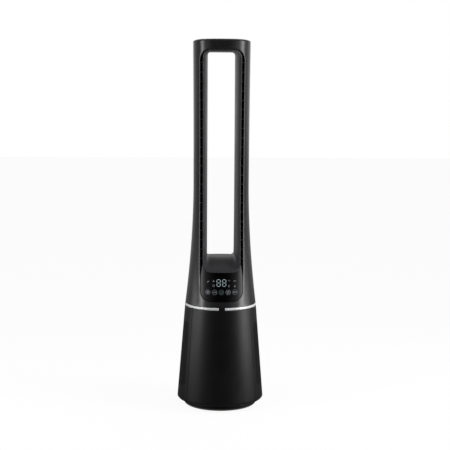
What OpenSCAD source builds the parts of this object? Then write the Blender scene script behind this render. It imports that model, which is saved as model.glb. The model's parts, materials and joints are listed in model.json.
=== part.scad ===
// Bladeless tower fan. Front faces -Y, up is +Z, the origin is the middle of the base on the ground.

/* [Overall] */
// Height of the whole fan
total_h = 982; // [940:5:1060]
// Clearance between two covers or shells that meet at a seam
seam_gap = 0.6; // [0.4:0.1:1]
// Clearance between a part and its seat
seat_gap = 0.3; // [0.2:0.05:0.4]
// Radial clearance of a shaft in its bore
run_gap = 0.04; // [0.02:0.01:0.08]

/* [Foot] */
// Largest diameter of the foot disc
foot_d = 197; // [192:1:204]
// Height of the foot disc's rim above the ground
foot_h = 17; // [16:0.5:18]
// Wall and floor of the foot disc
foot_wall = 3; // [2.5:0.1:3.5]
// Height of the rounded lower edge of the foot disc
foot_round_h = 9; // [5:0.5:10]
// How far that rounded edge draws in
foot_round_w = 9; // [5:0.5:10]
// Height of the rubber pads under the foot disc
pad_h = 2; // [1:0.1:2.5]
// Diameter of a rubber pad
pad_d = 15; // [10:1:18]
// Number of rubber pads
pad_count = 6; // [4:1:8]

/* [Oscillation drive] */
// Outer diameter of the hollow spindle
spindle_d = 22; // [20:1:24]
// Bore of the hollow spindle
spindle_bore = 16; // [14:0.5:17]
// Gear module
gear_module = 1.5; // [1.4:0.05:1.6]
// Teeth of the fixed sun gear
sun_teeth = 60; // [60:1:60]
// Teeth of the drive pinion
pinion_teeth = 15; // [15:1:15]
// Face width of the sun gear
sun_face = 5.7; // [5:0.1:6]
// Diameter of the gear motor's can
gearmotor_d = 49; // [44:1:50]
// Height of the gear motor's can
gearmotor_h = 20; // [16:1:22]
// Diameter of the pinion's shaft
pinion_shaft_d = 5; // [4:0.5:6]

/* [Lower body] */
// Diameter of the lower body at its lower edge
skirt_d = 232.4; // [228:0.2:236]
// Height of the lower body's lower edge above the ground
skirt_z = 20.6; // [20:0.1:21.5]
// Diameter of the lower body at its upper edge
waist_d = 192; // [188:0.5:196]
// Height of the lower body's upper edge
waist_z = 271.9; // [266:0.1:280]
// Wall of the front and side covers
cover_wall = 2.5; // [2:0.1:3]
// Rounding of the covers' lower edge
cover_round = 3; // [2:0.5:4]
// Angle that the plain front cover spans
front_angle = 106; // [100:1:120]
// Angle left plain beside each seam of a side cover
margin_angle = 10; // [8:1:12]
// Height of the lowest intake holes
intake_lo_z = 52; // [50:1:56]
// Height of the highest intake holes
intake_hi_z = 227; // [216:1:230]
// Diameter of an intake hole
intake_hole_d = 8; // [5:0.5:9]
// Spacing of the intake holes
intake_pitch = 20; // [16:1:22]

/* [Filters] */
// Inner radius of a filter half
filter_r = 78; // [77:0.5:80]
// Depth of the pleats
pleat_depth = 11; // [9:0.5:11.5]
// Number of pleats in a filter half
pleat_count = 36; // [24:1:44]
// Thickness of the pleated sheet
pleat_t = 1; // [0.8:0.1:1.2]
// Thickness of a filter's end caps
filter_cap = 4; // [3:0.5:5]
// Thickness of the dark mesh round the pleats
mesh_t = 0.8; // [0.6:0.1:1]

/* [Air drive] */
// Inner radius of the impeller housing
duct_r = 62; // [60:0.5:63]
// Wall of the impeller housing
duct_wall = 3; // [2.5:0.1:3.2]
// Tip radius of the impeller
impeller_r = 59; // [56:0.5:60]
// Number of impeller blades
blade_count = 9; // [7:1:11]
// Thickness of a blade
blade_t = 1.6; // [1.2:0.1:2]
// Number of outlet vanes
vane_count = 11; // [7:1:13]
// Outer radius of the motor bucket
bucket_r = 34; // [33:0.5:36]
// Diameter of the motor shaft
shaft_d = 6; // [5:0.5:7]

/* [Waist] */
// Height of the trim ring
ring_h = 6.7; // [6:0.1:8]
// Dark gap above and below the trim ring
ring_gap = 0.5; // [0.4:0.1:0.8]
// Angle of the joining block at the front of the trim ring
ring_block_angle = 10; // [8:0.5:14]

/* [Tower] */
// Width of the tower at its narrowest
tower_w = 148; // [142:0.4:150]
// Depth of the tower at its narrowest
tower_d = 116; // [110:1:124]
// Diameter of the tower at its lower edge
tower_base_d = 190; // [187:0.2:191]
// Height over which the tower flares to its lower edge
flare_h = 320; // [280:5:340]
// How much wider the tower is at its top than at its narrowest
top_flare = 2.2; // [1:0.2:4]
// Wall of the tower shells
tower_wall = 2.5; // [2:0.1:3]
// Width of the lip round the front opening
lip_w = 3; // [2.5:0.1:3.5]
// Depth of that lip
lip_depth = 7; // [5:0.5:9]

/* [Loop opening] */
// Width of the loop opening at the back
loop_back_w = 75.4; // [74:0.2:80]
// Width of the loop opening at its throat
loop_throat_w = 73.4; // [72:0.2:75]
// Width of the air liner at the front
loop_front_w = 99; // [96:0.5:102]
// Height of the loop floor's back edge above the ground
loop_floor_z = 400; // [390:1:410]
// Drop of the curved scoop floor towards the front
scoop_drop = 28; // [24:1:34]
// Height of the top bar's front face with the cap
top_bar_h = 28; // [25:0.5:32]
// Wall of the air liner
liner_wall = 1.8; // [1.4:0.1:2.2]
// Width of the air slot beside the liner, liner edge included
slot_w = 7; // [5:0.1:7.5]
// Spacing of the spacers in the air slot
spacer_pitch = 24.5; // [20:0.5:30]
// Thickness of a spacer
spacer_t = 1.6; // [1.2:0.1:2.4]

/* [Touch panel] */
// Height of the panel's lower edge above the ground
panel_z = 294; // [292:0.2:298]
// Radius of the panel's lower corners
panel_corner = 26.5; // [20:0.5:30]
// Thickness of the panel
panel_t = 3; // [2.5:0.1:3.5]
// Height of the row of touch keys above the ground
key_z = 319.6; // [318:0.1:322]
// Diameter of a touch key's ring
key_d = 13.5; // [12:0.5:15]
// Spacing of the touch keys
key_pitch = 18; // [16.5:0.5:20]
// Number of touch keys
key_count = 5; // [3:2:5]
// Height of the lower edge of the digits above the ground
digit_z = 335; // [331:0.5:336]
// Height of a digit
digit_h = 18.8; // [18:0.2:23]
// Width of a digit
digit_w = 10.4; // [10:0.2:13]
// Width of a digit's segments
segment_w = 1.7; // [1.6:0.1:2.4]

/* [Top cap] */
// Height of the crown of the cap over its edge
cap_crown = 4.6; // [3:0.1:5]
// Step from the shells' top edge to the cap's edge
cap_step = 0.5; // [0.3:0.1:1]

/* [Release button] */
// Diameter of the button that releases the side covers
button_d = 16; // [12:0.5:17]
// Travel of the button
button_travel = 2; // [1.5:0.1:2.2]

/* [Hidden] */
$fn = 72;
dark = "#26272a";
darker = "#17181a";
overrun = 1;

// Foot
foot_r = foot_d / 2;
floor_z = pad_h + foot_wall;
pad_ring_share = 0.8;
rib_r = 0.86 * foot_r;
rib_t = 4;
slide_h = 2.2;
slide_lap = 1;
ballast_t = 4;
ballast_gap = 3;
screw_r = 1.5;
screw_head_r = 3;
screw_head_h = 2;
flat_head_h = 1.4;
screw_gap = 0.1;

// Drive: pitch radii follow the module and the tooth counts
sun_r = gear_module * sun_teeth / 2;
pinion_r = gear_module * pinion_teeth / 2;
mesh_slack = 0.15;
backlash = 0.3;
addendum_share = 0.8;
dedendum_share = 1.05;
pressure_angle = 20;
drive_y = -(sun_r + pinion_r + mesh_slack);
spindle_r = spindle_d / 2;
shoulder_r = spindle_r + 3;
flange_r = sun_r - 7;
flange_h = 5.3;
sun_z = floor_z + flange_h;
shoulder_top = sun_z + sun_face;
slide_top = foot_h + slide_h - slide_lap;
turntable_z = slide_top + seat_gap;
turntable_t = 3;
turntable_top = turntable_z + turntable_t;
hub_r = spindle_r + 5;
hub_h = 14;
clip_t = 1.1;
clip_r = spindle_r + 4;
groove_r = spindle_r - 1.2;
clip_z = turntable_z + hub_h + seat_gap;
spindle_top = clip_z + clip_t + 1.5;
pinion_face = sun_face - 0.6;
pinion_boss_r = 6;
gearmotor_r = gearmotor_d / 2;
gearmotor_shift = 8;
gearmotor_y = drive_y - gearmotor_shift;
gearmotor_z = turntable_top;
gearmotor_tab = 3;

// Power inlet
inlet_w = 22;
inlet_top = foot_h - 0.6;
inlet_face_y = foot_r - 3;
inlet_depth = 26;
socket_w = 15.6;
socket_h = 8.6;
socket_depth = 12;
pin_r = 1.2;
pin_pitch = 8.6;
pin_len = 10;
inlet_mid_z = (floor_z + inlet_top) / 2;
wire_r = 2.2;
wire_z = floor_z + wire_r + 0.2;
wire_slot = 2 * wire_r + 2;
wire_gap = 0.2;
cable_r = 1.5;
cable_x = -14;

// Lower body
skirt_r = skirt_d / 2;
waist_r = waist_d / 2;
half_front = front_angle / 2;
seam_angle = -90 + half_front;
turntable_r = body_r(skirt_z + cover_round) - max(cover_wall, cover_round) - seat_gap;
deck_t = 4;
deck_drop = 6;
deck_z = waist_z - deck_drop;
ring_z = waist_z + ring_gap;
tower_z = ring_z + ring_h + ring_gap;
shelf_t = 3.5;
shelf_lap = 2;
filter_margin = 5;
filter_lo = intake_lo_z - filter_margin;
filter_hi = intake_hi_z + filter_margin;
filter_rim = 0.5;
filter_out = filter_r + pleat_depth + 2 * filter_rim;
filter_side_angle = 7;
filter_back_angle = 4;
filter_start = seam_angle + filter_side_angle;
filter_span = 180 - half_front - filter_side_angle - filter_back_angle;
rail_angle = 2;

// Air drive
housing_out = duct_r + duct_wall;
mouth_z = 64;
mouth_h = 20;
mouth_w = 3.5;
housing_top = 200;
mount_flange_z = 178;
mount_flange_t = 4;
mount_flange_r = housing_out + 5;
mount_r = 4.5;
mount_h = 2;
lug_wall = 0.5;
post_r = 3;
post_x = 50;
post_y = 52;
arm_x = 40;
arm_y = -57;
arm_h = 6;
impeller_z = 67;
impeller_h = 36;
hub_low_r = 18;
hub_high_r = 44;
hub_seat = 4;
hub_wall = 2.5;
hub_sink = 1;
blade_r = 46;
eye_w = 24;
bucket_z = 108;
bucket_h = 64;
bucket_wall = 2;
bearing_r = 8;
bearing_h = 5;
bearing_lip = 1;
tail_h = 16;
tail_r = 14;
shaft_r = shaft_d / 2;
rotor_r = 13;
rotor_h = 26;
rotor_z = bucket_z + (bucket_h - rotor_h) / 2;
stator_gap = 0.6;
vane_z = bucket_z + 8;
vane_h = 44;
vane_t = 2;
vane_twist_r = 70;

// Chassis and board
plate_y = -71;
plate_t = 3;
plate_x = 50;
plate_top = deck_z;
window_side = 4;
leg_w = 20;
motor_window_top = gearmotor_z + gearmotor_h + 6;
motor_window_x = gearmotor_r + 3 * gearmotor_tab + 1;
foot_tab_y = 12;
board_x = 32;
board_z = 92;
board_h = 118;
board_t = 1.6;
// Room between the chassis plate and the front cover at the board's top
board_room = body_r(board_z + board_h) - cover_wall + plate_y - plate_t;
standoff = 0.42 * board_room;
board_back = plate_y - plate_t - standoff;
board_screw_x = board_x - 5;
board_screw_z = 6;
part_h = 0.34 * board_room;
capacitor_r = 5;
// Parts on the board: left and right edge, lower and upper edge, height
board_part_shares = [
    [-0.62, 0.12, 0.12, 0.3, 1],
    [-0.56, -0.38, 0.42, 0.49, 0.5],
    [-0.28, -0.1, 0.42, 0.49, 0.5],
    [0, 0.18, 0.42, 0.49, 0.5],
    [0.28, 0.46, 0.42, 0.49, 0.5],
    [-0.44, 0.2, 0.58, 0.72, 0.25],
    [-0.6, -0.28, 0.9, 0.97, 0.5],
    [0.36, 0.66, 0.03, 0.09, 0.6]];
capacitor_shares = [[0.44, 0.17], [0.44, 0.3]];
boss_r = 4;
boss_x = 42;
boss_low_z = 72;
boss_high_z = intake_hi_z - 2;
boss_screw_len = 12;

// Duct and deck
duct_t = 2;
duct_lap = 10;
duct_low_z = housing_top - duct_lap;
duct_neck_z = filter_hi + shelf_t;
gasket_h = 3;
duct_top_z = deck_z - gasket_h;
duct_mouth_r = 78;
gasket_w = 6;
ring_proud = 0.2;
spigot_t = 2.7;
spigot_draft = 1.9;
spigot_lap = 8;
spigot_r = tower_base_d / 2 - tower_wall - spigot_draft;
spigot_top = tower_z + spigot_lap;
deck_r = waist_r - cover_wall - seat_gap;
cable_hole_y = -83;
column_r = 5;
column_ring = spigot_r - column_r;
column_angles = [45, 135, 225, 315];
tower_screw_len = 34;
tower_boss_h = 20;

// Release button
button_r = button_d / 2;
button_z = deck_z - 16;
button_proud = 0.8;
button_head = 6;
stem_r = 4;
stem_len = 10;
bracket_w = 18;
bracket_len = 8;
bracket_drop = 10;
spring_r = 5.4;
spring_wire = 0.8;
spring_pocket = 5;

// Tower section
tower_a = tower_w / 2;
tower_b = tower_d / 2;
base_r = tower_base_d / 2;
top_z = total_h - cap_crown - cap_step;
flare_top_z = tower_z + flare_h;
flare_power_share = 1.88;
top_power_share = 1.5;
base_power_share = 2;
waist_power_share = 2.35;
level_shares = [0, 0.08, 0.16, 0.25, 0.35, 0.46, 0.58, 0.72, 0.86];
high_level_shares = [0, 0.35, 0.6, 0.8, 0.93];
edge_shares = [[1.5, 0], [0.5, 0.5], [0, 1.3]];
edge_unit = 1;
oval_points = 60;

// Loop opening
back_a = loop_back_w / 2;
throat_a = loop_throat_w / 2;
front_a = loop_front_w / 2;
scoop_z = loop_floor_z - scoop_drop;
top_recess = 5.2;
top_draft = 0.7;
top_lip = top_recess - liner_wall - seat_gap - screw_gap;
front_top_z = total_h - top_bar_h - top_recess;
back_top_z = front_top_z + top_draft;
front_corner = 21;
back_corner = 9;
open_a = front_a + slot_w;
open_top_z = total_h - top_bar_h;
open_corner = front_corner + slot_w;
slot_bottom_z = scoop_z + front_corner;
slot_top_z = front_top_z - front_corner;
liner_recess = 3;
scoop_start_share = 0.36;
throat_share = 0.625;
top_lip_share = 0.2;
flare_curve_share = 2.2;
side_shares = [0.04, 0.09, 0.15, 0.22, 0.3, 0.4, 0.6, 0.8];
spacer_depth = 8;
spacer_recess = 1.2;
panel_gap = 1;

// Display
cap_inset = 2;
cap_skirt = 9;
cap_wall = 1.5;
cap_shares = [1, 0.99, 0.96, 0.92, 0.87, 0.78, 0.4, 0.15];
cap_power_share = 9;
inlay_t = 1.2;
frame_x = 36;
well_wall = 2;
frame_lo = key_z - key_d / 2 - well_wall;
frame_hi = digit_z + digit_h + 2 * well_wall;
board_y = -58;
display_board_t = 1.6;
key_ring_t = 0.9;
digit_gap = 4.4;
segment_gap = 0.45;

// Smallest and largest of shares, and a blend from one value to another
function limit(v) = min(1, max(0, v));
function blend(a, b, t) = a + (b - a) * t;

// Radius of the lower body's outer face at a height
function body_r(z) = blend(skirt_r, waist_r, (z - skirt_z) / (waist_z - skirt_z));

// Shape of the tower's section at a height: flare, half width, half depth and power of its oval
function flare(z) = pow(limit((flare_top_z - z) / flare_h), flare_power_share);
function top_wide(z) = top_flare * pow(limit((z - flare_top_z) / (top_z - flare_top_z)), top_power_share);
function half_w(z) = blend(tower_a, base_r, flare(z)) + top_wide(z);
function half_d(z) = blend(tower_b, base_r, flare(z)) + top_wide(z);
function power(z) = blend(waist_power_share, base_power_share, flare(z));

// Depth of the tower's face at a place, half the tower's depth at the middle
function face_y(x, z, inset = 0) =
    (half_d(z) - inset) * pow(1 - pow(limit(abs(x) / (half_w(z) - inset)), power(z)), 1 / power(z));

function oval(z, inset) = [for (i = [0:oval_points - 1])
    let (t = 360 * i / oval_points, c = cos(t), s = sin(t), p = 2 / power(z))
    [(half_w(z) - inset) * sign(c) * pow(abs(c), p), (half_d(z) - inset) * sign(s) * pow(abs(s), p), z]];

// Levels of the tower's rings, from a low height to a high one
function levels(lo, hi) = [
    for (s = level_shares) let (z = blend(tower_z, flare_top_z, s)) if (z > lo && z < hi) z,
    for (s = high_level_shares) let (z = blend(flare_top_z, top_z, s)) if (z > lo && z < hi) z];

// A solid through rings of equally many points, closed at both ends
module loft(rings) {
    n = len(rings[0]);
    m = len(rings);
    polyhedron([for (r = rings) each r], [
        [for (i = [0:n - 1]) i],
        [for (i = [n - 1:-1:0]) (m - 1) * n + i],
        for (k = [0:m - 2], i = [0:n - 1]) [k * n + i, (k + 1) * n + i, (k + 1) * n + (i + 1) % n],
        for (k = [0:m - 2], i = [0:n - 1]) [k * n + i, (k + 1) * n + (i + 1) % n, k * n + (i + 1) % n]]);
}

// A solid through rings that close on themselves, like a sleeve
module sleeve(rings) {
    n = len(rings[0]);
    m = len(rings);
    polyhedron([for (r = rings) each r], [
        for (k = [0:m - 1], i = [0:n - 1])
            [k * n + i, ((k + 1) % m) * n + i, ((k + 1) % m) * n + (i + 1) % n],
        for (k = [0:m - 1], i = [0:n - 1])
            [k * n + i, ((k + 1) % m) * n + (i + 1) % n, k * n + (i + 1) % n]]);
}

// The tower's body between two heights, drawn in by an inset
module tower_body(inset, lo, hi) {
    loft([oval(lo, inset), for (z = levels(lo, hi)) oval(z, inset), oval(hi, inset)]);
}

// The tower's outside with its rounded top edge
module tower_outside() {
    body_top = top_z - edge_shares[0][0] * edge_unit;
    loft([oval(tower_z, 0), for (z = levels(tower_z, body_top)) oval(z, 0),
        for (e = edge_shares) oval(top_z - e[0] * edge_unit, e[1] * edge_unit)]);
}

// An upright rounded window, cut along Y
module window(half, lo, hi, r_low, r_high, y0, y1) {
    translate([0, y1, 0]) rotate([90, 0, 0]) linear_extrude(y1 - y0) union() {
        translate([-half, lo + r_low]) square([2 * half, hi - lo - r_low - r_high]);
        translate([-half + r_low, lo]) square([2 * (half - r_low), r_low]);
        translate([-half + r_high, hi - r_high]) square([2 * (half - r_high), r_high]);
        for (s = [-1, 1]) translate([s * (half - r_low), lo + r_low]) circle(r_low);
        for (s = [-1, 1]) translate([s * (half - r_high), hi - r_high]) circle(r_high);
    }
}

// A ring between two radii and two heights, whole or over an angle
module ring(r_in, r_out, z0, z1, start = 0, span = 360) {
    rotate([0, 0, start]) rotate_extrude(angle = span)
        translate([r_in, z0]) square([r_out - r_in, z1 - z0]);
}

module block(lo, hi) {
    translate(lo) cube(hi - lo);
}

// A rod along Y between two depths
module rod_y(r, x, z, y0, y1) {
    translate([x, y0, z]) rotate([-90, 0, 0]) cylinder(r = r, h = y1 - y0);
}

module rod_z(r, x, y, z0, z1) {
    translate([x, y, z0]) cylinder(r = r, h = z1 - z0);
}

// A wire swept through a list of points, with each corner rounded
module wire(points, r) {
    sides = 8;
    bend = 3 * r;
    arc_steps = 4;
    last = len(points) - 1;
    function unit(v) = v / norm(v);
    function corner(i) = let (a = points[i] - bend * unit(points[i] - points[i - 1]),
        c = points[i] + bend * unit(points[i + 1] - points[i]))
        [for (k = [0:arc_steps]) let (s = k / arc_steps)
            pow(1 - s, 2) * a + 2 * s * (1 - s) * points[i] + s * s * c];
    route = [points[0], for (i = [1:last - 1]) each corner(i), points[last]];
    end = len(route) - 1;
    function wire_ring(i) = let (d = unit(route[min(i + 1, end)] - route[max(i - 1, 0)]),
        u = unit([1 - d.x * d.x, -d.x * d.y, -d.x * d.z]), v = cross(d, u))
        [for (k = [0:sides - 1]) route[i] + r * (cos(360 * k / sides) * u + sin(360 * k / sides) * v)];
    loft([for (i = [0:end]) wire_ring(i)]);
}

// Gear outline from true involute flanks
function inv(angle) = tan(angle) * 180 / PI - angle;
function flank(r, pitch, teeth) =
    90 / teeth - backlash / pitch * 90 / PI + inv(pressure_angle)
    - inv(acos(min(1, pitch * cos(pressure_angle) / r)));
function polar(r, angle) = [r * cos(angle), r * sin(angle)];

module gear_outline(teeth) {
    pitch = gear_module * teeth / 2;
    tip = pitch + addendum_share * gear_module;
    root = pitch - dedendum_share * gear_module;
    base = max(root, pitch * cos(pressure_angle));
    steps = 3;
    radii = [for (k = [0:steps]) blend(base, tip, k / steps)];
    polygon([for (i = [0:teeth - 1]) let (mid = 360 * i / teeth) each [
        polar(root, mid - flank(base, pitch, teeth)),
        for (r = radii) polar(r, mid - flank(r, pitch, teeth)),
        for (k = [0:steps]) polar(radii[steps - k], mid + flank(radii[steps - k], pitch, teeth)),
        polar(root, mid + flank(base, pitch, teeth))]]);
}

// Foot
function foot_curve(inset) = [for (k = [0:6]) let (t = 90 * k / 6)
    [foot_r - foot_round_w + (foot_round_w - inset) * sin(t),
        pad_h + inset + (foot_round_h - inset) * (1 - cos(t))]];

module inlet_cut(slack) {
    block([-inlet_w / 2 - slack, inlet_face_y - inlet_depth - slack, floor_z],
        [inlet_w / 2 + slack, foot_r + overrun, foot_h + overrun]);
}

module foot_disc() {
    color(dark) difference() {
        union() {
            rotate_extrude() polygon([[0, pad_h], each foot_curve(0), [foot_r, foot_h],
                [foot_r - foot_wall, foot_h], each [for (k = [6:-1:0]) foot_curve(foot_wall)[k]],
                [0, floor_z]]);
            ring(rib_r, rib_r + rib_t, floor_z - foot_wall / 2, foot_h - slide_lap);
        }
        inlet_cut(seat_gap);
        for (p = sun_screw_places()) rod_z(screw_r + screw_gap, p.x, p.y, 0, floor_z + overrun);
        for (p = sun_screw_places())
            rod_z(screw_head_r + screw_gap, p.x, p.y, 0, pad_h + flat_head_h + screw_gap);
    }
}

function pad_places() = [
    for (i = [0:pad_count - 1]) polar(foot_r * pad_ring_share, 360 * (i + 0.5) / pad_count)];
function sun_screw_places() = [for (i = [0:2]) polar((shoulder_r + flange_r) / 2, 90 + 60 + 120 * i)];

module rubber_pads() {
    color("#101010") for (p = pad_places()) rod_z(pad_d / 2, p.x, p.y, 0, pad_h);
}

module ballast_plate() {
    color("#6f7377") difference() {
        ring(flange_r + ballast_gap, rib_r - slide_lap, floor_z, floor_z + ballast_t);
        inlet_cut(seat_gap);
        block([-wire_slot / 2, 0, floor_z - overrun], [wire_slot / 2, rib_r, floor_z + ballast_t + overrun]);
    }
}

module slide_ring() {
    color("#d8d8d0") difference() {
        ring(rib_r - slide_lap, rib_r + rib_t + slide_lap, foot_h - 2 * slide_lap, slide_top);
        ring(rib_r - screw_gap, rib_r + rib_t + screw_gap, foot_h - 2 * slide_lap - overrun,
            foot_h - slide_lap);
        inlet_cut(seat_gap);
    }
}

module spindle() {
    bore = spindle_bore / 2;
    color("#8c9196") difference() {
        rotate_extrude() polygon([[bore, floor_z], [flange_r, floor_z], [flange_r, sun_z],
            [shoulder_r, sun_z], [shoulder_r, shoulder_top], [spindle_r, shoulder_top],
            [spindle_r, clip_z], [groove_r, clip_z], [groove_r, clip_z + clip_t],
            [spindle_r, clip_z + clip_t], [spindle_r, spindle_top], [bore, spindle_top]]);
        block([-wire_slot / 2, 0, floor_z - overrun],
            [wire_slot / 2, flange_r + overrun, wire_z + wire_r + seat_gap]);
        for (p = sun_screw_places()) rod_z(screw_r, p.x, p.y, floor_z - overrun, sun_z + overrun);
    }
}

module sun_gear() {
    color("#e4e2da") difference() {
        translate([0, 0, sun_z]) rotate([0, 0, -90]) linear_extrude(sun_face) gear_outline(sun_teeth);
        rod_z(shoulder_r + screw_gap, 0, 0, sun_z - overrun, shoulder_top + overrun);
        for (p = sun_screw_places()) rod_z(screw_r, p.x, p.y, sun_z - overrun, sun_z + sun_face / 2);
    }
}

module spindle_clip() {
    color("#aab0b5") ring(groove_r + screw_gap, clip_r, clip_z + screw_gap / 2,
        clip_z + clip_t - screw_gap / 2);
}

module foot_screws() {
    color("#9a9ea2") for (p = sun_screw_places()) {
        rod_z(screw_r, p.x, p.y, pad_h + screw_gap, sun_z + sun_face / 2);
        rod_z(screw_head_r, p.x, p.y, pad_h + screw_gap, pad_h + flat_head_h);
    }
}

module power_inlet() {
    back = inlet_face_y - inlet_depth;
    color(darker) difference() {
        block([-inlet_w / 2, back, floor_z], [inlet_w / 2, inlet_face_y, inlet_top]);
        socket_shape(inlet_face_y - socket_depth, inlet_face_y + overrun);
        for (s = [-1, 1]) rod_y(pin_r, s * pin_pitch / 2, inlet_mid_z,
            inlet_face_y - socket_depth - pin_len / 2, inlet_face_y);
        rod_y(wire_r, 0, wire_z, back - overrun, back + inlet_depth / 4);
    }
}

// Two round lobes side by side, joined by a straight waist
module socket_shape(y0, y1) {
    lobe = socket_h / 2;
    for (s = [-1, 1]) rod_y(lobe, s * (socket_w / 2 - lobe), inlet_mid_z, y0, y1);
    block([-socket_w / 2 + lobe, y0, inlet_mid_z - lobe], [socket_w / 2 - lobe, y1, inlet_mid_z + lobe]);
}

module inlet_pins() {
    base = inlet_face_y - socket_depth - pin_len / 2;
    color("#c8c9ca") for (s = [-1, 1])
        rod_y(pin_r, s * pin_pitch / 2, inlet_mid_z, base, base + 1.4 * pin_len);
}

module foot_wire() {
    color("#202020") wire([[0, inlet_face_y - inlet_depth * 3 / 4, wire_z], [0, 0, wire_z],
        [0, 0, clip_z]], wire_r);
}

// Turntable and drive
module turntable() {
    color("#3a3c3f") difference() {
        union() {
            ring(spindle_r + run_gap, turntable_r, turntable_z, turntable_top);
            ring(spindle_r + run_gap, hub_r, turntable_z, turntable_z + hub_h);
        }
        rod_z(pinion_boss_r + overrun, 0, drive_y, turntable_z - overrun, turntable_top + overrun);
        for (p = gear_screw_places())
            rod_z(screw_r, p.x, p.y, turntable_z - overrun, turntable_top + overrun);
    }
}

function gear_screw_places() = [for (s = [-1, 1]) [s * (gearmotor_r + gearmotor_tab), gearmotor_y]];

module gear_motor() {
    color("#9fa3a6") difference() {
        union() {
            rod_z(gearmotor_r, 0, gearmotor_y, gearmotor_z, gearmotor_z + gearmotor_h);
            for (p = gear_screw_places())
                rod_z(gearmotor_tab * 2, p.x, p.y, gearmotor_z, gearmotor_z + screw_r);
        }
        rod_z(pinion_shaft_d / 2 + run_gap, 0, drive_y, gearmotor_z - overrun, gearmotor_z + gearmotor_h / 2);
        for (p = gear_screw_places())
            rod_z(screw_r + screw_gap, p.x, p.y, gearmotor_z - overrun, gearmotor_z + screw_r + overrun);
    }
}

module gear_motor_screws() {
    seat = gearmotor_z + screw_r;
    color("#b8bcc0") for (p = gear_screw_places()) {
        rod_z(screw_r, p.x, p.y, turntable_z, seat);
        rod_z(screw_head_r, p.x, p.y, seat, seat + screw_head_h);
    }
}

module drive_pinion() {
    face_z = sun_z + (sun_face - pinion_face) / 2;
    color("#efe9d2") {
        translate([0, drive_y, face_z]) rotate([0, 0, 90 + 180 / pinion_teeth]) linear_extrude(pinion_face)
            gear_outline(pinion_teeth);
        rod_z(pinion_boss_r, 0, drive_y, face_z, turntable_z + seat_gap);
        rod_z(pinion_shaft_d / 2, 0, drive_y, face_z, gearmotor_z + gearmotor_h / 2 - seat_gap);
    }
}

// Chassis
module chassis_frame() {
    arm_top = mount_flange_z - mount_h;
    front = plate_y - plate_t;
    color("#4a4d50") difference() {
        union() {
            block([-plate_x, front, turntable_top], [plate_x, plate_y, plate_top]);
            for (s = [-1, 1]) block([s * (plate_x - leg_w / 2) - leg_w / 2, front, turntable_top],
                [s * (plate_x - leg_w / 2) + leg_w / 2, plate_y + foot_tab_y, turntable_top + plate_t]);
            block([-plate_x, front, arm_top - arm_h], [plate_x, arm_y + mount_r + lug_wall, arm_top]);
            for (x = [-1, 1], z = board_screw_heights())
                rod_y(screw_head_r, x * board_screw_x, z, board_back, plate_y - overrun);
        }
        rod_z(housing_out + seat_gap, 0, 0, turntable_z, deck_z);
        block([-motor_window_x, front - overrun, turntable_top - overrun],
            [motor_window_x, plate_y + foot_tab_y + overrun, motor_window_top]);
        rod_z(duct_mouth_r + window_side, 0, 0, duct_neck_z, deck_z + overrun);
        for (s = [-1, 1]) rod_z(screw_r, s * arm_x, arm_y, arm_top - arm_h - overrun, arm_top + overrun);
        for (x = [-1, 1], z = board_screw_heights())
            rod_y(screw_r, x * board_screw_x, z, board_back - overrun, plate_y - plate_t);
        for (x = [-1, 1], z = [boss_low_z, boss_high_z])
            rod_y(screw_r + screw_gap, x * boss_x, z, front - overrun, plate_y + overrun);
    }
}

function board_screw_heights() = [board_z + board_screw_z, board_z + board_h - board_screw_z];

module chassis_posts() {
    top = mount_flange_z - mount_h;
    color("#8f9498") difference() {
        for (s = [-1, 1]) rod_z(post_r, s * post_x, post_y, turntable_top, top);
        for (s = [-1, 1]) rod_z(screw_r, s * post_x, post_y, top - arm_h, top + overrun);
    }
}

function mount_places() = [for (s = [-1, 1]) each [[s * post_x, post_y], [s * arm_x, arm_y]]];

module rubber_mounts() {
    color("#1b1b1b") difference() {
        for (p = mount_places()) rod_z(mount_r, p.x, p.y, mount_flange_z - mount_h, mount_flange_z);
        for (p = mount_places())
            rod_z(screw_r + screw_gap, p.x, p.y, mount_flange_z - mount_h - overrun,
                mount_flange_z + overrun);
    }
}

module housing_screws() {
    seat = mount_flange_z + mount_flange_t;
    color("#b8bcc0") for (p = mount_places()) {
        rod_z(screw_r, p.x, p.y, mount_flange_z - mount_h - arm_h, seat);
        rod_z(screw_head_r, p.x, p.y, seat, seat + screw_head_h);
    }
}

// Air drive
module impeller_housing() {
    curve = [for (k = [0:5]) let (t = 90 * k / 5)
        [duct_r + mouth_w * (1 - sin(t)), mouth_z + mouth_h * (1 - cos(t))]];
    color("#55585c") difference() {
        union() {
            rotate_extrude() polygon([each curve, [duct_r, housing_top], [housing_out, housing_top],
                [housing_out, mouth_z + mouth_h], [housing_out + mouth_w, mouth_z]]);
            ring(duct_r + duct_wall / 2, mount_flange_r, mount_flange_z, mount_flange_z + mount_flange_t);
            for (p = mount_places())
                rod_z(mount_r + lug_wall, p.x, p.y, mount_flange_z, mount_flange_z + mount_flange_t);
        }
        rod_z(duct_r, 0, 0, mount_flange_z - overrun, mount_flange_z + mount_flange_t + overrun);
        for (p = mount_places())
            rod_z(screw_r + screw_gap, p.x, p.y, mount_flange_z - overrun,
                mount_flange_z + mount_flange_t + overrun);
    }
}

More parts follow.
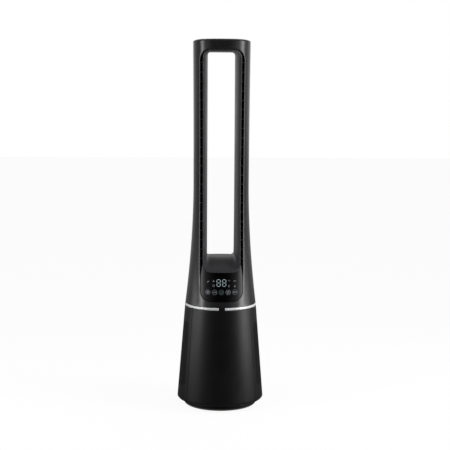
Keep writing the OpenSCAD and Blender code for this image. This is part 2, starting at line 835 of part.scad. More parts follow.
module motor_bucket() {
    top = bucket_z + bucket_h;
    seat = bearing_h + bearing_lip;
    color("#3f4245") difference() {
        union() {
            rotate_extrude() polygon([[shaft_r + bearing_lip, bucket_z], [bucket_r, bucket_z],
                [bucket_r, top], [tail_r, top + tail_h], [tail_r - bucket_wall, top + tail_h],
                [bucket_r - bucket_wall, top - bucket_wall],
                [bucket_r - bucket_wall, bucket_z + seat], [bearing_r, bucket_z + seat],
                [bearing_r, bucket_z + bearing_lip], [shaft_r + bearing_lip, bucket_z + bearing_lip]]);
            ring(bearing_r, bucket_r - bucket_wall / 2, top - seat, top - bearing_lip);
            intersection() {
                for (i = [0:vane_count - 1]) rotate([0, 0, 360 * i / vane_count])
                    translate([0, vane_twist_r - vane_t, vane_z]) linear_extrude(vane_h) difference() {
                        circle(vane_twist_r);
                        circle(vane_twist_r - vane_t);
                        translate([-2 * vane_twist_r, -vane_twist_r]) square(2 * vane_twist_r);
                    }
                ring(bucket_r - bucket_wall / 2, duct_r - screw_gap, vane_z, vane_z + vane_h);
            }
        }
    }
}

module motor_stator() {
    tooth = 6;
    coils = 6;
    inner = rotor_r + stator_gap;
    outer = bucket_r - bucket_wall - screw_gap;
    yoke = 4;
    winding = 2;
    shoe = 3;
    color("#b87333") union() {
        ring(outer - yoke, outer, rotor_z, rotor_z + rotor_h);
        intersection() {
            ring(inner, outer - yoke / 2, rotor_z - winding, rotor_z + rotor_h + winding);
            for (i = [0:coils - 1]) rotate([0, 0, 360 * i / coils]) union() {
                block([0, -tooth / 2, rotor_z], [outer, tooth / 2, rotor_z + rotor_h]);
                block([inner + shoe, -tooth, rotor_z - winding],
                    [outer - yoke, tooth, rotor_z + rotor_h + winding]);
            }
        }
    }
}

module motor_bearings() {
    low = bucket_z + bearing_lip;
    top = bucket_z + bucket_h - bearing_lip;
    color("#c6c8ca") {
        ring(shaft_r + run_gap, bearing_r, low, low + bearing_h);
        ring(shaft_r + run_gap, bearing_r, top - bearing_h, top);
    }
}

module motor_rotor() {
    color("#50545a") ring(shaft_r, rotor_r, rotor_z, rotor_z + rotor_h);
}

module motor_shaft() {
    color("#d2d4d6") rod_z(shaft_r, 0, 0, impeller_z + hub_seat, bucket_z + bucket_h - bearing_lip / 2);
}

module impeller() {
    top = impeller_z + impeller_h;
    low = impeller_z + hub_seat;
    collar = shaft_r + hub_wall;
    color("#2c2e31") {
        rotate_extrude() polygon([[shaft_r, low], [collar, low], [hub_low_r, low + hub_wall],
            [hub_high_r, top], [hub_high_r - hub_wall, top], [hub_low_r, low + 3 * hub_wall],
            [collar, low + 3 * hub_wall], [collar, top - hub_seat], [shaft_r, top - hub_seat]]);
        intersection() {
            for (i = [0:blade_count - 1]) rotate([0, 0, 360 * i / blade_count])
                translate([0, blade_r - blade_t, impeller_z]) linear_extrude(impeller_h) difference() {
                    circle(blade_r);
                    circle(blade_r - blade_t);
                    translate([-2 * blade_r, -blade_r]) square(2 * blade_r);
                }
            rotate_extrude() polygon([[hub_low_r - hub_sink, low + hub_wall],
                [impeller_r - eye_w, impeller_z], [impeller_r, impeller_z],
                [impeller_r, top - hub_sink], [hub_high_r - hub_sink, top - hub_sink]]);
        }
    }
}

// Electronics in the lower body
module main_board() {
    color("#1d5a35") difference() {
        block([-board_x, board_back - board_t, board_z], [board_x, board_back, board_z + board_h]);
        for (x = [-1, 1], z = board_screw_heights())
            rod_y(screw_r + screw_gap, x * board_screw_x, z, board_back - board_t - overrun,
                board_back + overrun);
    }
}

module board_parts() {
    face = board_back - board_t;
    color("#333a44") {
        for (s = board_part_shares) block([s[0] * board_x, face - s[4] * part_h, board_z + s[2] * board_h],
            [s[1] * board_x, face, board_z + s[3] * board_h]);
        for (s = capacitor_shares)
            rod_y(capacitor_r, s[0] * board_x, board_z + s[1] * board_h, face - part_h, face);
    }
}

module board_screws() {
    face = board_back - board_t;
    color("#b8bcc0") for (x = [-1, 1], z = board_screw_heights()) {
        rod_y(screw_r, x * board_screw_x, z, face, plate_y - plate_t);
        rod_y(screw_head_r, x * board_screw_x, z, face - screw_head_h, face);
    }
}

module mains_wire() {
    run_z = gearmotor_z + gearmotor_h + wire_r + seat_gap;
    end_x = board_x / 2;
    end_y = board_back - board_t - wire_r - wire_gap;
    color("#202020") wire([[0, 0, clip_z + seat_gap], [0, 0, run_z], [end_x, -board_x, run_z],
        [end_x, end_y, run_z], [end_x, end_y, board_z + wire_r]], wire_r);
}

module display_cable() {
    start_y = board_back - board_t - cable_r - wire_gap;
    end_y = board_y + display_board_t + cable_r + wire_gap;
    color("#202020") wire([[cable_x, start_y, board_z + board_h - cable_r],
        [cable_x, start_y, duct_neck_z - 2 * wire_r], [cable_x, cable_hole_y, deck_z - 4 * wire_r],
        [cable_x, cable_hole_y, spigot_top], [cable_x, end_y, frame_lo - wire_r],
        [cable_x, end_y, frame_lo + 4 * wire_r]], cable_r);
}

// Duct, gasket and deck
module air_duct() {
    low = housing_out + seat_gap;
    flange = duct_mouth_r + duct_t;
    color("#54575b") rotate_extrude() polygon([[low, duct_low_z], [low, duct_neck_z],
        [duct_mouth_r - gasket_w, duct_top_z], [flange, duct_top_z], [flange, duct_top_z - duct_t],
        [duct_mouth_r - gasket_w + duct_t, duct_top_z - duct_t], [low + duct_t, duct_neck_z - duct_t],
        [low + duct_t, duct_low_z]]);
}

module duct_gasket() {
    color("#2a2a2a") ring(duct_mouth_r - gasket_w, duct_mouth_r, duct_top_z, deck_z);
}

module upper_deck() {
    color("#3a3c3f") difference() {
        union() {
            ring(duct_mouth_r - gasket_w, deck_r, deck_z, deck_z + deck_t);
            ring(spigot_r - spigot_t, deck_r - overrun, deck_z + deck_t / 2, ring_z);
            ring(spigot_r - spigot_t, spigot_r, deck_z + deck_t / 2, spigot_top);
            for (a = column_angles) {
                p = polar(column_ring, a);
                rod_z(column_r, p.x, p.y, deck_z + deck_t / 2, spigot_top);
            }
        }
        for (a = column_angles) {
            p = polar(column_ring, a);
            rod_z(screw_r + screw_gap, p.x, p.y, deck_z - overrun, spigot_top + overrun);
        }
        difference() {
            rod_z(spigot_r + column_r, 0, 0, ring_z, spigot_top + overrun);
            rod_z(spigot_r, 0, 0, ring_z - overrun, spigot_top + 2 * overrun);
        }
        rod_z(cable_r + wire_gap, cable_x, cable_hole_y, deck_z - overrun, ring_z + overrun);
    }
}

// Covers of the lower body
module cover_wall_ring(start, span) {
    low = [for (k = [0:4]) let (t = 90 * k / 4)
        [skirt_r - cover_round * (1 - sin(t)), skirt_z + cover_round * (1 - cos(t))]];
    top = waist_z;
    color(dark) rotate([0, 0, start]) rotate_extrude(angle = span) polygon([
        [skirt_r - cover_round, skirt_z], each low, [waist_r, top], [waist_r - cover_wall, top],
        [skirt_r - cover_wall - (skirt_r - waist_r) * cover_round / (top - skirt_z), skirt_z + cover_round]]);
}

function seam_turn() = seam_gap / waist_r * 90 / PI;

module front_cover() {
    front = plate_y - plate_t - screw_gap;
    color(dark) difference() {
        union() {
            cover_wall_ring(-90 - half_front + seam_turn(), front_angle - 2 * seam_turn());
            intersection() {
                for (x = [-1, 1], z = [boss_low_z, boss_high_z])
                    rod_y(boss_r, x * boss_x, z, -skirt_r, front);
                rotate_extrude() polygon([[0, skirt_z], [body_r(skirt_z) - cover_wall / 2, skirt_z],
                    [waist_r - cover_wall / 2, waist_z], [0, waist_z]]);
            }
        }
        for (x = [-1, 1], z = [boss_low_z, boss_high_z])
            rod_y(screw_r, x * boss_x, z, front - boss_screw_len, front + overrun);
    }
}

module cover_screws() {
    front = plate_y - plate_t - screw_gap;
    color("#b8bcc0") for (x = [-1, 1], z = [boss_low_z, boss_high_z]) {
        rod_y(screw_r, x * boss_x, z, front - boss_screw_len, plate_y);
        rod_y(screw_head_r, x * boss_x, z, plate_y, plate_y + screw_head_h);
    }
}

// Shelf inside a side cover that carries an end of the filter
module cover_shelf(z) {
    intersection() {
        ring(filter_out - shelf_lap, skirt_r, z, z + shelf_t, filter_start, filter_span);
        rotate_extrude() polygon([[0, skirt_z], [body_r(skirt_z) - cover_wall / 2, skirt_z],
            [waist_r - cover_wall / 2, waist_z], [0, waist_z]]);
    }
}

module intake_holes() {
    row_step = intake_pitch * sqrt(3) / 2;
    rows = floor((intake_hi_z - intake_lo_z - intake_hole_d) / row_step);
    step = intake_pitch / body_r(intake_hi_z) * 180 / PI;
    first = seam_angle + margin_angle + filter_back_angle;
    count = floor((90 - first - filter_back_angle) / step);
    for (k = [0:rows], i = [0:count - k % 2])
        let (z = intake_lo_z + intake_hole_d / 2 + k * row_step, a = first + (i + (k % 2) / 2) * step)
        rotate([0, 0, a]) translate([body_r(z) - 2 * cover_wall, 0, z]) rotate([0, 90, 0])
            cylinder(d = intake_hole_d, h = 3 * cover_wall);
}

module side_cover() {
    color(dark) difference() {
        union() {
            cover_wall_ring(seam_angle + seam_turn(), 90 - seam_angle - 2 * seam_turn());
            cover_shelf(filter_lo - seat_gap - shelf_t);
            cover_shelf(filter_hi + seat_gap);
        }
        intake_holes();
        rod_y(button_r + seam_gap, 0, button_z, skirt_r / 2, skirt_r);
    }
}

module side_cover_right() {
    side_cover();
}

module side_cover_left() {
    mirror([1, 0, 0]) side_cover();
}

// Filters
module filter_half() {
    step = (filter_span - 2 * rail_angle) / (2 * pleat_count);
    edge = pleat_t / 2;
    function fold(i, side) = polar((i % 2 == 0 ? filter_r + pleat_t : filter_r + pleat_depth) + side * edge,
        i * step + rail_angle);
    last = 2 * pleat_count;
    color("#d9d9d2") translate([0, 0, filter_lo + filter_cap]) rotate([0, 0, filter_start])
        linear_extrude(filter_hi - filter_lo - 2 * filter_cap)
        polygon([for (i = [0:last]) fold(i, 1), for (i = [last:-1:0]) fold(i, -1)]);
}

module filter_frame_half() {
    color("#3b3d40") difference() {
        ring(filter_r - filter_rim, filter_out, filter_lo, filter_hi, filter_start, filter_span);
        ring(filter_r - filter_rim - overrun, filter_out + overrun, filter_lo + filter_cap,
            filter_hi - filter_cap, filter_start + rail_angle, filter_span - 2 * rail_angle);
    }
}

module filter_mesh_half() {
    color("#101112") ring(filter_out + screw_gap, filter_out + screw_gap + mesh_t, filter_lo, filter_hi,
        filter_start, filter_span);
}

module filter_right() {
    filter_half();
}

module filter_left() {
    mirror([1, 0, 0]) filter_half();
}

module filter_frame_right() {
    filter_frame_half();
}

module filter_frame_left() {
    mirror([1, 0, 0]) filter_frame_half();
}

module filter_mesh_right() {
    filter_mesh_half();
}

module filter_mesh_left() {
    mirror([1, 0, 0]) filter_mesh_half();
}

// Release button and its bracket
module release_button() {
    face = body_r(button_z) + button_proud;
    color(darker) {
        rod_y(button_r, 0, button_z, face - button_head, face);
        rod_y(stem_r, 0, button_z, face - button_head - stem_len, face - button_head);
    }
}

module button_bracket() {
    front = body_r(button_z) + button_proud - button_head - button_travel - seat_gap;
    color("#4a4d50") difference() {
        block([-bracket_w / 2, front - bracket_len, button_z - bracket_drop], [bracket_w / 2, front, deck_z]);
        rod_y(stem_r + run_gap, 0, button_z, front - bracket_len - overrun, front + overrun);
        rod_y(spring_r + spring_wire, 0, button_z, front - spring_pocket, front + overrun);
    }
}

// Coil spring round the button's stem, a tube swept along a helix with flat end turns
module button_spring() {
    head = body_r(button_z) + button_proud - button_head;
    low = head - button_travel - seat_gap - spring_pocket;
    rise = head - low - spring_wire - 2 * screw_gap;
    turns = 4;
    steps = 12 * turns;
    sides = 6;
    function lift(t) = rise * limit((t * turns - 0.75) / (turns - 1.5));
    function centre(t) = [spring_r * cos(360 * turns * t), low + screw_gap + spring_wire / 2 + lift(t),
        button_z + spring_r * sin(360 * turns * t)];
    function coil_ring(t) = let (a = 360 * turns * t) [for (k = [0:sides - 1]) let (b = -360 * k / sides)
        centre(t) + spring_wire / 2 * [cos(b) * cos(a), sin(b), cos(b) * sin(a)]];
    color("#b9bdc1") loft([for (k = [0:steps]) coil_ring(k / steps)]);
}

// Trim ring
module trim_ring() {
    edge = ring_h / 8;
    top = ring_z + ring_h;
    block_turn = ring_block_angle / 2;
    outer = waist_r + ring_proud;
    color("#e6e9ee") rotate([0, 0, -90 + block_turn]) rotate_extrude(angle = 360 - ring_block_angle)
        polygon([[spigot_r + seat_gap, ring_z], [outer - edge, ring_z], [outer, ring_z + edge],
            [outer - edge / 2, top - edge], [outer - 1.5 * edge, top], [spigot_r + seat_gap, top]]);
}

module ring_block() {
    turn = ring_block_angle / 2 - seam_turn() / 2;
    color(darker) ring(spigot_r + seat_gap, waist_r - ring_proud, ring_z, ring_z + ring_h,
        -90 - turn, 2 * turn);
}

// Tower shells
module front_opening(slack) {
    window(open_a + slack, panel_z - slack, open_top_z + slack, panel_corner + slack, open_corner + slack,
        -base_r - overrun, 0);
}

module tower_bosses(side) {
    for (a = column_angles) if (sign(sin(a)) == side) {
        p = polar(column_ring, a);
        rod_z(column_r, p.x, p.y, spigot_top, spigot_top + tower_boss_h);
    }
}

module tower_boss_bores() {
    for (a = column_angles) {
        p = polar(column_ring, a);
        rod_z(screw_r, p.x, p.y, spigot_top - overrun, deck_z + tower_screw_len);
    }
}

module half_space(side) {
    far = 2 * base_r;
    lo = side < 0 ? -far : seam_gap / 2;
    hi = side < 0 ? -seam_gap / 2 : far;
    block([-far, lo, 0], [far, hi, total_h]);
}

module tower_skin() {
    difference() {
        tower_outside();
        tower_body(tower_wall, tower_z - overrun, top_z + overrun);
    }
}

module tower_front_shell() {
    color(dark) difference() {
        union() {
            intersection() {
                tower_skin();
                half_space(-1);
            }
            intersection() {
                tower_body(tower_wall / 2, tower_z + overrun, top_z - overrun);
                tower_bosses(-1);
            }
        }
        front_opening(0);
        tower_boss_bores();
    }
}

module tower_rear_shell() {
    wall = liner_wall + seat_gap;
    color(dark) difference() {
        union() {
            intersection() {
                tower_skin();
                half_space(1);
            }
            intersection() {
                tower_body(tower_wall / 2, tower_z + overrun, top_z - overrun);
                tower_bosses(1);
            }
        }
        window(back_a + wall, loop_floor_z - wall, back_top_z + wall, back_corner + wall, back_corner + wall,
            0, base_r);
        tower_boss_bores();
    }
}

module tower_screws() {
    color("#b8bcc0") for (a = column_angles) {
        p = polar(column_ring, a);
        rod_z(screw_r, p.x, p.y, deck_z, deck_z + tower_screw_len - screw_gap);
        rod_z(screw_head_r, p.x, p.y, deck_z - screw_head_h, deck_z);
    }
}

// Air liner: rounded windows that shrink from the front to the back
function arc(cx, cz, r, a0, steps) = [
    for (k = [0:steps]) let (a = a0 + 90 * k / steps) [cx + r * cos(a), cz + r * sin(a)]];
function outline(half, lo, hi, r) = let (c = 6, e = 8, w = half - r) [
    for (k = [0:e - 1]) [blend(-w, w, k / e), lo],
    each arc(w, lo + r, r, -90, c), each [for (s = side_shares) [half, blend(lo + r, hi - r, s)]],
    each arc(w, hi - r, r, 0, c), for (k = [1:e - 1]) [blend(w, -w, k / e), hi],
    each arc(-w, hi - r, r, 90, c),
    each [for (i = [len(side_shares) - 1:-1:0]) [-half, blend(lo + r, hi - r, side_shares[i])]],
    each [for (k = [0:c - 1]) let (a = 180 + 90 * k / c) [-w + r * cos(a), lo + r + r * sin(a)]]];

function liner_depth(x, z, t) =
    blend(-face_y(x, z) + liner_recess * limit((z - scoop_z) / front_corner), face_y(x, z), t);
function liner_flare(t) = pow(limit(1 - t / throat_share), flare_curve_share);
function liner_half(t) = t < throat_share
    ? blend(throat_a, front_a, liner_flare(t))
    : blend(throat_a, back_a, pow((t - throat_share) / (1 - throat_share), 2));
function liner_ring(t, out, lip = 0) =
    let (
        half = liner_half(t) + out,
        lo = loop_floor_z - scoop_drop * pow(limit(1 - t / (1 - scoop_start_share)), 2) - out,
        hi = blend(front_top_z, back_top_z, t) + out + lip * limit(1 - t / top_lip_share),
        r = blend(back_corner, front_corner, liner_flare(t)) + out)
    [for (p = outline(half, lo, hi, r)) [p.x, liner_depth(p.x, p.y, t), p.y]];

module air_liner() {
    steps = 8;
    color("#3b3c3f") sleeve([
        for (k = [0:steps]) liner_ring(k / steps, 0),
        for (k = [0:steps]) liner_ring(1 - k / steps, liner_wall, top_lip)]);
}

function spacer_heights() = [for (z = [slot_bottom_z + spacer_pitch / 2:spacer_pitch:slot_top_z]) z];

module spacers() {
    inner = front_a + liner_wall + screw_gap;
    outer = open_a - screw_gap;
    color("#2e2f31") for (z = spacer_heights()) {
        front = -face_y(open_a, z) + spacer_recess;
        block([inner, front, z - spacer_t / 2], [outer, front + spacer_depth, z + spacer_t / 2]);
    }
}

module slot_spacers() {
    spacers();
    mirror([1, 0, 0]) spacers();
}

// Top cap: a crowned plate with a short skirt inside the shells
module top_cap() {
    edge = top_z + cap_step;
    inset = tower_wall + seat_gap;
    function cap_ring(s, z) = [for (p = oval(top_z, cap_inset)) [p.x * s, p.y * s, z]];
    color(dark) difference() {
        union() {
            loft([cap_ring(1, top_z + cap_step / 2), for (s = cap_shares)
                cap_ring(s, edge + cap_crown * (1 - pow(s, cap_power_share)))]);
            loft([oval(top_z - cap_skirt, inset), oval(top_z + cap_step / 2 + overrun / 2, inset)]);
        }
        loft([oval(top_z - cap_skirt - overrun, 2 * inset), oval(top_z - cap_wall, 2 * inset)]);
    }
}

// Touch panel
module panel_skin(slack, outer, inner) {
    lo = panel_z + slack;
    hi = slot_bottom_z;
    intersection() {
        difference() {
            tower_body(outer, lo - 2 * overrun, hi + overrun);
            tower_body(inner, lo - 3 * overrun, hi + 2 * overrun);
        }
        window(open_a - slack, lo, hi + panel_corner, panel_corner - slack, overrun,
            -base_r - overrun, -tower_b / 4);
        block([-base_r, -base_r, lo - overrun], [base_r, 0, hi]);
    }
}

module scoop_cut() {
    out = liner_wall + screw_gap;
    window(front_a + out, scoop_z - out, front_top_z, front_corner + out, front_corner, -base_r - overrun, 0);
}

module control_panel() {
    color("#050506") difference() {
        panel_skin(panel_gap, 0, panel_t);
        scoop_cut();
        inlay() digit_shapes(-base_r, 0);
        inlay() key_shapes(-base_r, 0);
    }
}

// The outer layer of what is cut along Y through the panel
module inlay() {
    difference() {
        children();
        tower_body(inlay_t, panel_z - overrun, slot_bottom_z + overrun);
    }
}

// Seven segments of a digit, as closed shapes in the panel's plane
module segment(len) {
    tip = segment_w / 2 - segment_gap;
    polygon([[-len / 2 + tip, -tip], [len / 2 - tip, -tip], [len / 2, 0], [len / 2 - tip, tip],
        [-len / 2 + tip, tip], [-len / 2, 0]]);
}

module digit_outline() {
    w = digit_w - segment_w;
    h = (digit_h - segment_w) / 2;
    gap = segment_gap;
    for (k = [0:2]) translate([0, segment_w / 2 + k * h]) segment(w - gap);
    for (s = [-1, 1], k = [0, 1]) translate([s * w / 2, segment_w / 2 + (k + 0.5) * h])
        rotate([0, 0, 90]) segment(h - gap);
}

module digit_shapes(y0, y1) {
    for (s = [-1, 1]) translate([s * (digit_w + digit_gap) / 2, y1, digit_z]) rotate([90, 0, 0])
        linear_extrude(y1 - y0) digit_outline();
}

module key_shapes(y0, y1) {
    for (i = [0:key_count - 1]) translate([(i - (key_count - 1) / 2) * key_pitch, 0, 0]) difference() {
        rod_y(key_d / 2, 0, key_z, y0, y1);
        rod_y(key_d / 2 - key_ring_t, 0, key_z, y0 - overrun, y1 + overrun);
    }
}

module display_digits() {
    color("#dfeaff") intersection() {
        tower_body(0, panel_z - 2 * overrun, slot_bottom_z + overrun);
        inlay() digit_shapes(-base_r, 0);
    }
}

module key_rings() {
    color("#8fa2c0") intersection() {
        tower_body(0, panel_z - 2 * overrun, slot_bottom_z + overrun);
        inlay() key_shapes(-base_r, 0);
    }
}

module display_frame() {
    wall = well_wall;
    color("#1c1d1f") difference() {
        intersection() {
            tower_body(panel_t + seat_gap, frame_lo - overrun, frame_hi + overrun);
            block([-frame_x, -base_r, frame_lo], [frame_x, board_y, frame_hi]);
        }
        block([-frame_x + wall, -base_r - overrun, key_z - key_d / 2],
            [frame_x - wall, board_y + overrun, key_z + key_d / 2]);
        block([-digit_w - digit_gap, -base_r - overrun, digit_z - well_wall / 2],
            [digit_w + digit_gap, board_y + overrun, digit_z + digit_h + well_wall / 2]);
    }
}

module display_board() {
    color("#1d5a35") block([-frame_x, board_y, frame_lo], [frame_x, board_y + display_board_t, frame_hi]);
}

foot_disc();
rubber_pads();
ballast_plate();
slide_ring();
spindle();
sun_gear();
spindle_clip();
power_inlet();
inlet_pins();
foot_screws();
foot_wire();
turntable();
gear_motor();
gear_motor_screws();
drive_pinion();
chassis_frame();
chassis_posts();
rubber_mounts();
housing_screws();
impeller_housing();
motor_bucket();
motor_stator();
motor_bearings();
motor_rotor();
motor_shaft();
impeller();
main_board();
board_parts();
board_screws();
mains_wire();
display_cable();
air_duct();
duct_gasket();
upper_deck();
front_cover();
cover_screws();
side_cover_right();
side_cover_left();
filter_right();
filter_left();
filter_frame_right();
filter_frame_left();
filter_mesh_right();
filter_mesh_left();
release_button();
button_bracket();
button_spring();
trim_ring();
ring_block();
tower_front_shell();
tower_rear_shell();
tower_screws();
air_liner();
slot_spacers();
top_cap();
control_panel();
display_frame();
display_board();
display_digits();
key_rings();
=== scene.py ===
import json
import math
import bpy
import bmesh
from mathutils import Matrix, Vector

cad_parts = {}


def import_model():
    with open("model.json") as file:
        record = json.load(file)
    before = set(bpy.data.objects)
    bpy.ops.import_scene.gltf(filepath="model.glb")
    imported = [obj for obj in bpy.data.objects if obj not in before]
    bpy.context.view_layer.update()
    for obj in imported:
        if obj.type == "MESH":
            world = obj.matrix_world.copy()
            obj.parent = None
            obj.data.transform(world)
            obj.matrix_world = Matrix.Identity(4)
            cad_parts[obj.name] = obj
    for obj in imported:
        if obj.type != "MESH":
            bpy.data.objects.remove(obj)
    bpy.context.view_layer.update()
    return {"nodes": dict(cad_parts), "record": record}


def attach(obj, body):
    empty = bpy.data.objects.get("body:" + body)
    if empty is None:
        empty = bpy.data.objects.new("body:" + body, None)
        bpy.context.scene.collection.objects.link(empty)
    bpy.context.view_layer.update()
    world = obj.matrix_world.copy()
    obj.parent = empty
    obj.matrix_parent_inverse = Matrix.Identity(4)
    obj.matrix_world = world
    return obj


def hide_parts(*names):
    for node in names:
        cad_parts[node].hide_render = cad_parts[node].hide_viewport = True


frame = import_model()
nodes = frame["nodes"]
scene = bpy.context.scene

MM = 0.001
PI = math.pi

# Sizes of the part in millimetres and degrees, as in its source. Meshes are made in metres.
# Foot disc: its pads lift it off the floor
FOOT_R, FOOT_ROUND, FOOT_H, FOOT_WALL, FOOT_LIFT = 98.5, 8.5, 17, 3, 1
FOOT_FLAT, RIM_ROUND, RIM_MID = 50, 0.8, 0.25
POCKET_LO, POCKET_HI = (-11.3, 69.2, 5.0), (11.3, 101, 18)
RIB_IN, RIB_OUT, RIB_LO, RIB_HI, RIB_START, RIB_SPAN = 84.7, 88.7, 3.5, 16, 98, 344
# Lower body and its covers
SKIRT_R, SKIRT_Z, WAIST_R, WAIST_Z, MEAN_R = 116.2, 20.6, 96, 271.9, 104
COVER_WALL, COVER_ROUND, WAIST_ROUND, SEAM, SEAM_ROUND = 2.5, 3, 0.8, 0.6, 0.7
PLAIN_LO, PLAIN_HI, PLAIN_STEP, WALL_BITE = 28, 268, 12, 1.5
HALF_FRONT, MARGIN, REAR_MARGIN = 53, 5, 10
BOSS_X, BOSS_Z, BOSS_R, BOSS_END = (-42, 42), (72, 225), 4, -74.2
INTAKE_LO, INTAKE_HI, INTAKE_CORNER, HOLE_D, PITCH = 60, 232, 16.0, 3.2, 5.2
SHELVES, SHELF_R, SHELF_T, SHELF_START, SHELF_SPAN = (43.2, 232.3), 88, 3.5, 7, 114
# Release button: its face stands proud, dished, with a rounded rim
BUTTON_Z, BUTTON_R, BUTTON_PROUD, BUTTON_CLEAR = 249.9, 8, 0.8, 5
BUTTON_RIM, BUTTON_DISH, BUTTON_HEAD, STEM_R, STEM_END = 1.4, 0.7, 6, 4, 16
# Trim ring, and the turn of the dark block in its gap
RING_Z, RING_H, RING_PROUD, SPIGOT_R, SPIGOT_GAP = 272.4, 6.7, 0.2, 90.6, 0.3
BLOCK_TURN, BLOCK_PLAY, BLOCK_INSET = 5, 0.2, 0.6
# Tower and its front window
TOWER_Z, TOP_Z, FLARE_H, TOWER_WALL, TOP_ROUND = 279.6, 976.9, 320, 2.5, 1.6
TOWER_A, TOWER_B, BASE_R, TOP_FLARE = 74, 58, 95, 2.2
OPEN_A, OPEN_TOP, OPEN_CORNER = 56.5, 954, 28
LIP_DROP, LIP_SHARE, LIP_LO, LIP_RISE = 1.1, 0.07, 330, 40
TONGUE_LO, TONGUE_HI, TONGUE_HALF, TONGUE_OUT, TONGUE_IN = 12, 8.3, 2.5, 0.1, 1.3
# Air liner: half widths at its front, throat and back, and its ends
FRONT_A, THROAT_A, BACK_A, THROAT, LINER_WALL = 48.2, 36.7, 37.7, 0.625, 1.8
FLOOR_Z, SCOOP_DROP, SCOOP_SHARE = 400, 28, 0.64
FRONT_TOP, BACK_TOP, TOP_LIP, FRONT_CORNER, BACK_CORNER = 948.8, 949.5, 3, 21, 9
SCOOP_Z = FLOOR_Z - SCOOP_DROP
SLOT_BOTTOM = SCOOP_Z + FRONT_CORNER
# Top cap
CAP_INSET, CAP_EDGE, CAP_CROWN, CAP_SKIRT, CAP_PLAY, CAP_WALL = 2.0, 0.5, 4.6, 8, 0.8, 2.6
# Touch panel and its marks
PANEL_Z, PANEL_CORNER, PANEL_T, PANEL_GAP, PANEL_SEAT, HORN_DROP = 294.0, 26.5, 3, 1.3, 0.1 + 0.2, 32
KEY_Z, KEY_D, KEY_PITCH, KEY_LINE = 319.6, 13.5, 18, 0.75
DIGIT_Z, DIGIT_H, DIGIT_W, DIGIT_GAP, SEGMENT_W = 334.7, 18.8, 10.4, 4.4, 1.5
SHOW_X, MARK_PROUD, MARK_T, MARK_STEP = -1.1, 0.05, 0.2, 0.8
# Powers and shares of the tower's form
FLARE_POWER, TOP_POWER, WIDEN_SHARE, UPPER_POWER, BASE_POWER = 1.88, 1.5, 0.7, 2.35, 2.0


def clamp(v):
    return min(1.0, max(0.0, v))


def mix(a, b, t):
    return a + (b - a) * t


def body_r(z):
    return mix(SKIRT_R, WAIST_R, (z - SKIRT_Z) / (WAIST_Z - SKIRT_Z))


def flare(z):
    return clamp((TOWER_Z + FLARE_H - z) / FLARE_H) ** FLARE_POWER


def top_wide(z):
    lo = TOWER_Z + FLARE_H
    return TOP_FLARE * clamp((z - lo) / (TOP_Z - lo)) ** TOP_POWER


def half_w(z):
    return mix(TOWER_A, BASE_R, flare(z)) + top_wide(z)


def widen(x, z, half, share=1.0):
    """The front opening grows wider with the tower."""
    return x * (1 + WIDEN_SHARE * share * top_wide(z) / half)


def half_d(z):
    return mix(TOWER_B, BASE_R, flare(z)) + top_wide(z)


def power(z):
    return mix(UPPER_POWER, BASE_POWER, flare(z))


def face_y(x, z):
    """Depth of the tower's face at a place across it."""
    p = power(z)
    return half_d(z) * (1 - clamp(abs(x) / half_w(z)) ** p) ** (1 / p)


def rounding(d, r):
    """How far a face draws in at a distance d from an edge rounded by r."""
    return 0.0 if d >= r else r - math.sqrt(max(0.0, r * r - (r - d) ** 2))


def quarter(steps):
    """Angles from zero to a right angle."""
    return [PI / 2 * k / steps for k in range(steps + 1)]


# ---------------------------------- meshes

MERGE, TINY, ROD_SIDES, AXIS_R = 2e-6, 1e-7, 32, 0.01


def make(name, verts, faces, body, mat, sharp=40, out=None):
    """A mesh object from points in millimetres. out turns the faces of an open skin away from a point."""
    me = bpy.data.meshes.new(name)
    me.from_pydata([(x * MM, y * MM, z * MM) for x, y, z in verts], [], faces)
    bm = bmesh.new()
    bm.from_mesh(me)
    bmesh.ops.remove_doubles(bm, verts=bm.verts, dist=MERGE)
    bmesh.ops.dissolve_degenerate(bm, edges=bm.edges, dist=TINY)
    if out is None:
        bmesh.ops.recalc_face_normals(bm, faces=bm.faces)
    else:
        bm.normal_update()
        score = sum(f.normal.dot(out(f.calc_center_median())) * f.calc_area() for f in bm.faces)
        if score < 0:
            bmesh.ops.reverse_faces(bm, faces=bm.faces)
    bm.to_mesh(me)
    bm.free()
    me.materials.append(mat)
    ob = bpy.data.objects.new(name, me)
    scene.collection.objects.link(ob)
    ob["smooth_angle"] = sharp
    shade(ob)
    ob["ride"] = body
    return ob


def shade(ob):
    for f in ob.data.polygons:
        f.use_smooth = True
    ob.data.set_sharp_from_angle(angle=math.radians(ob["smooth_angle"]))


def apply(ob):
    """Bakes the modifiers into the mesh."""
    graph = bpy.context.evaluated_depsgraph_get()
    me = bpy.data.meshes.new_from_object(ob.evaluated_get(graph))
    ob.modifiers.clear()
    ob.data = me
    return ob


def thicken(ob, wall, edge=0.0, steps=3, rim=0):
    s = ob.modifiers.new("wall", "SOLIDIFY")
    s.thickness, s.offset, s.use_even_offset = wall * MM, -1, True
    s.material_offset_rim = rim
    if edge:
        bevel(ob, edge, steps, part=rim or -1)
    return apply(ob)


def bevel(ob, edge, steps=3, angle=50, part=-1):
    b = ob.modifiers.new("edge", "BEVEL")
    b.width, b.segments, b.limit_method = edge * MM, steps, "ANGLE"
    b.angle_limit, b.harden_normals, b.material = math.radians(angle), True, part
    return ob


def cut(ob, cutter):
    m = ob.modifiers.new("cut", "BOOLEAN")
    m.object, m.operation, m.solver = cutter, "DIFFERENCE", "EXACT"
    apply(ob)
    bpy.data.objects.remove(cutter)
    return ob


def join(first, *others):
    """Adds the meshes of the others to the first object."""
    bm = bmesh.new()
    bm.from_mesh(first.data)
    for o in others:
        bm.from_mesh(o.data)
        bpy.data.objects.remove(o)
    bm.to_mesh(first.data)
    bm.free()
    return first


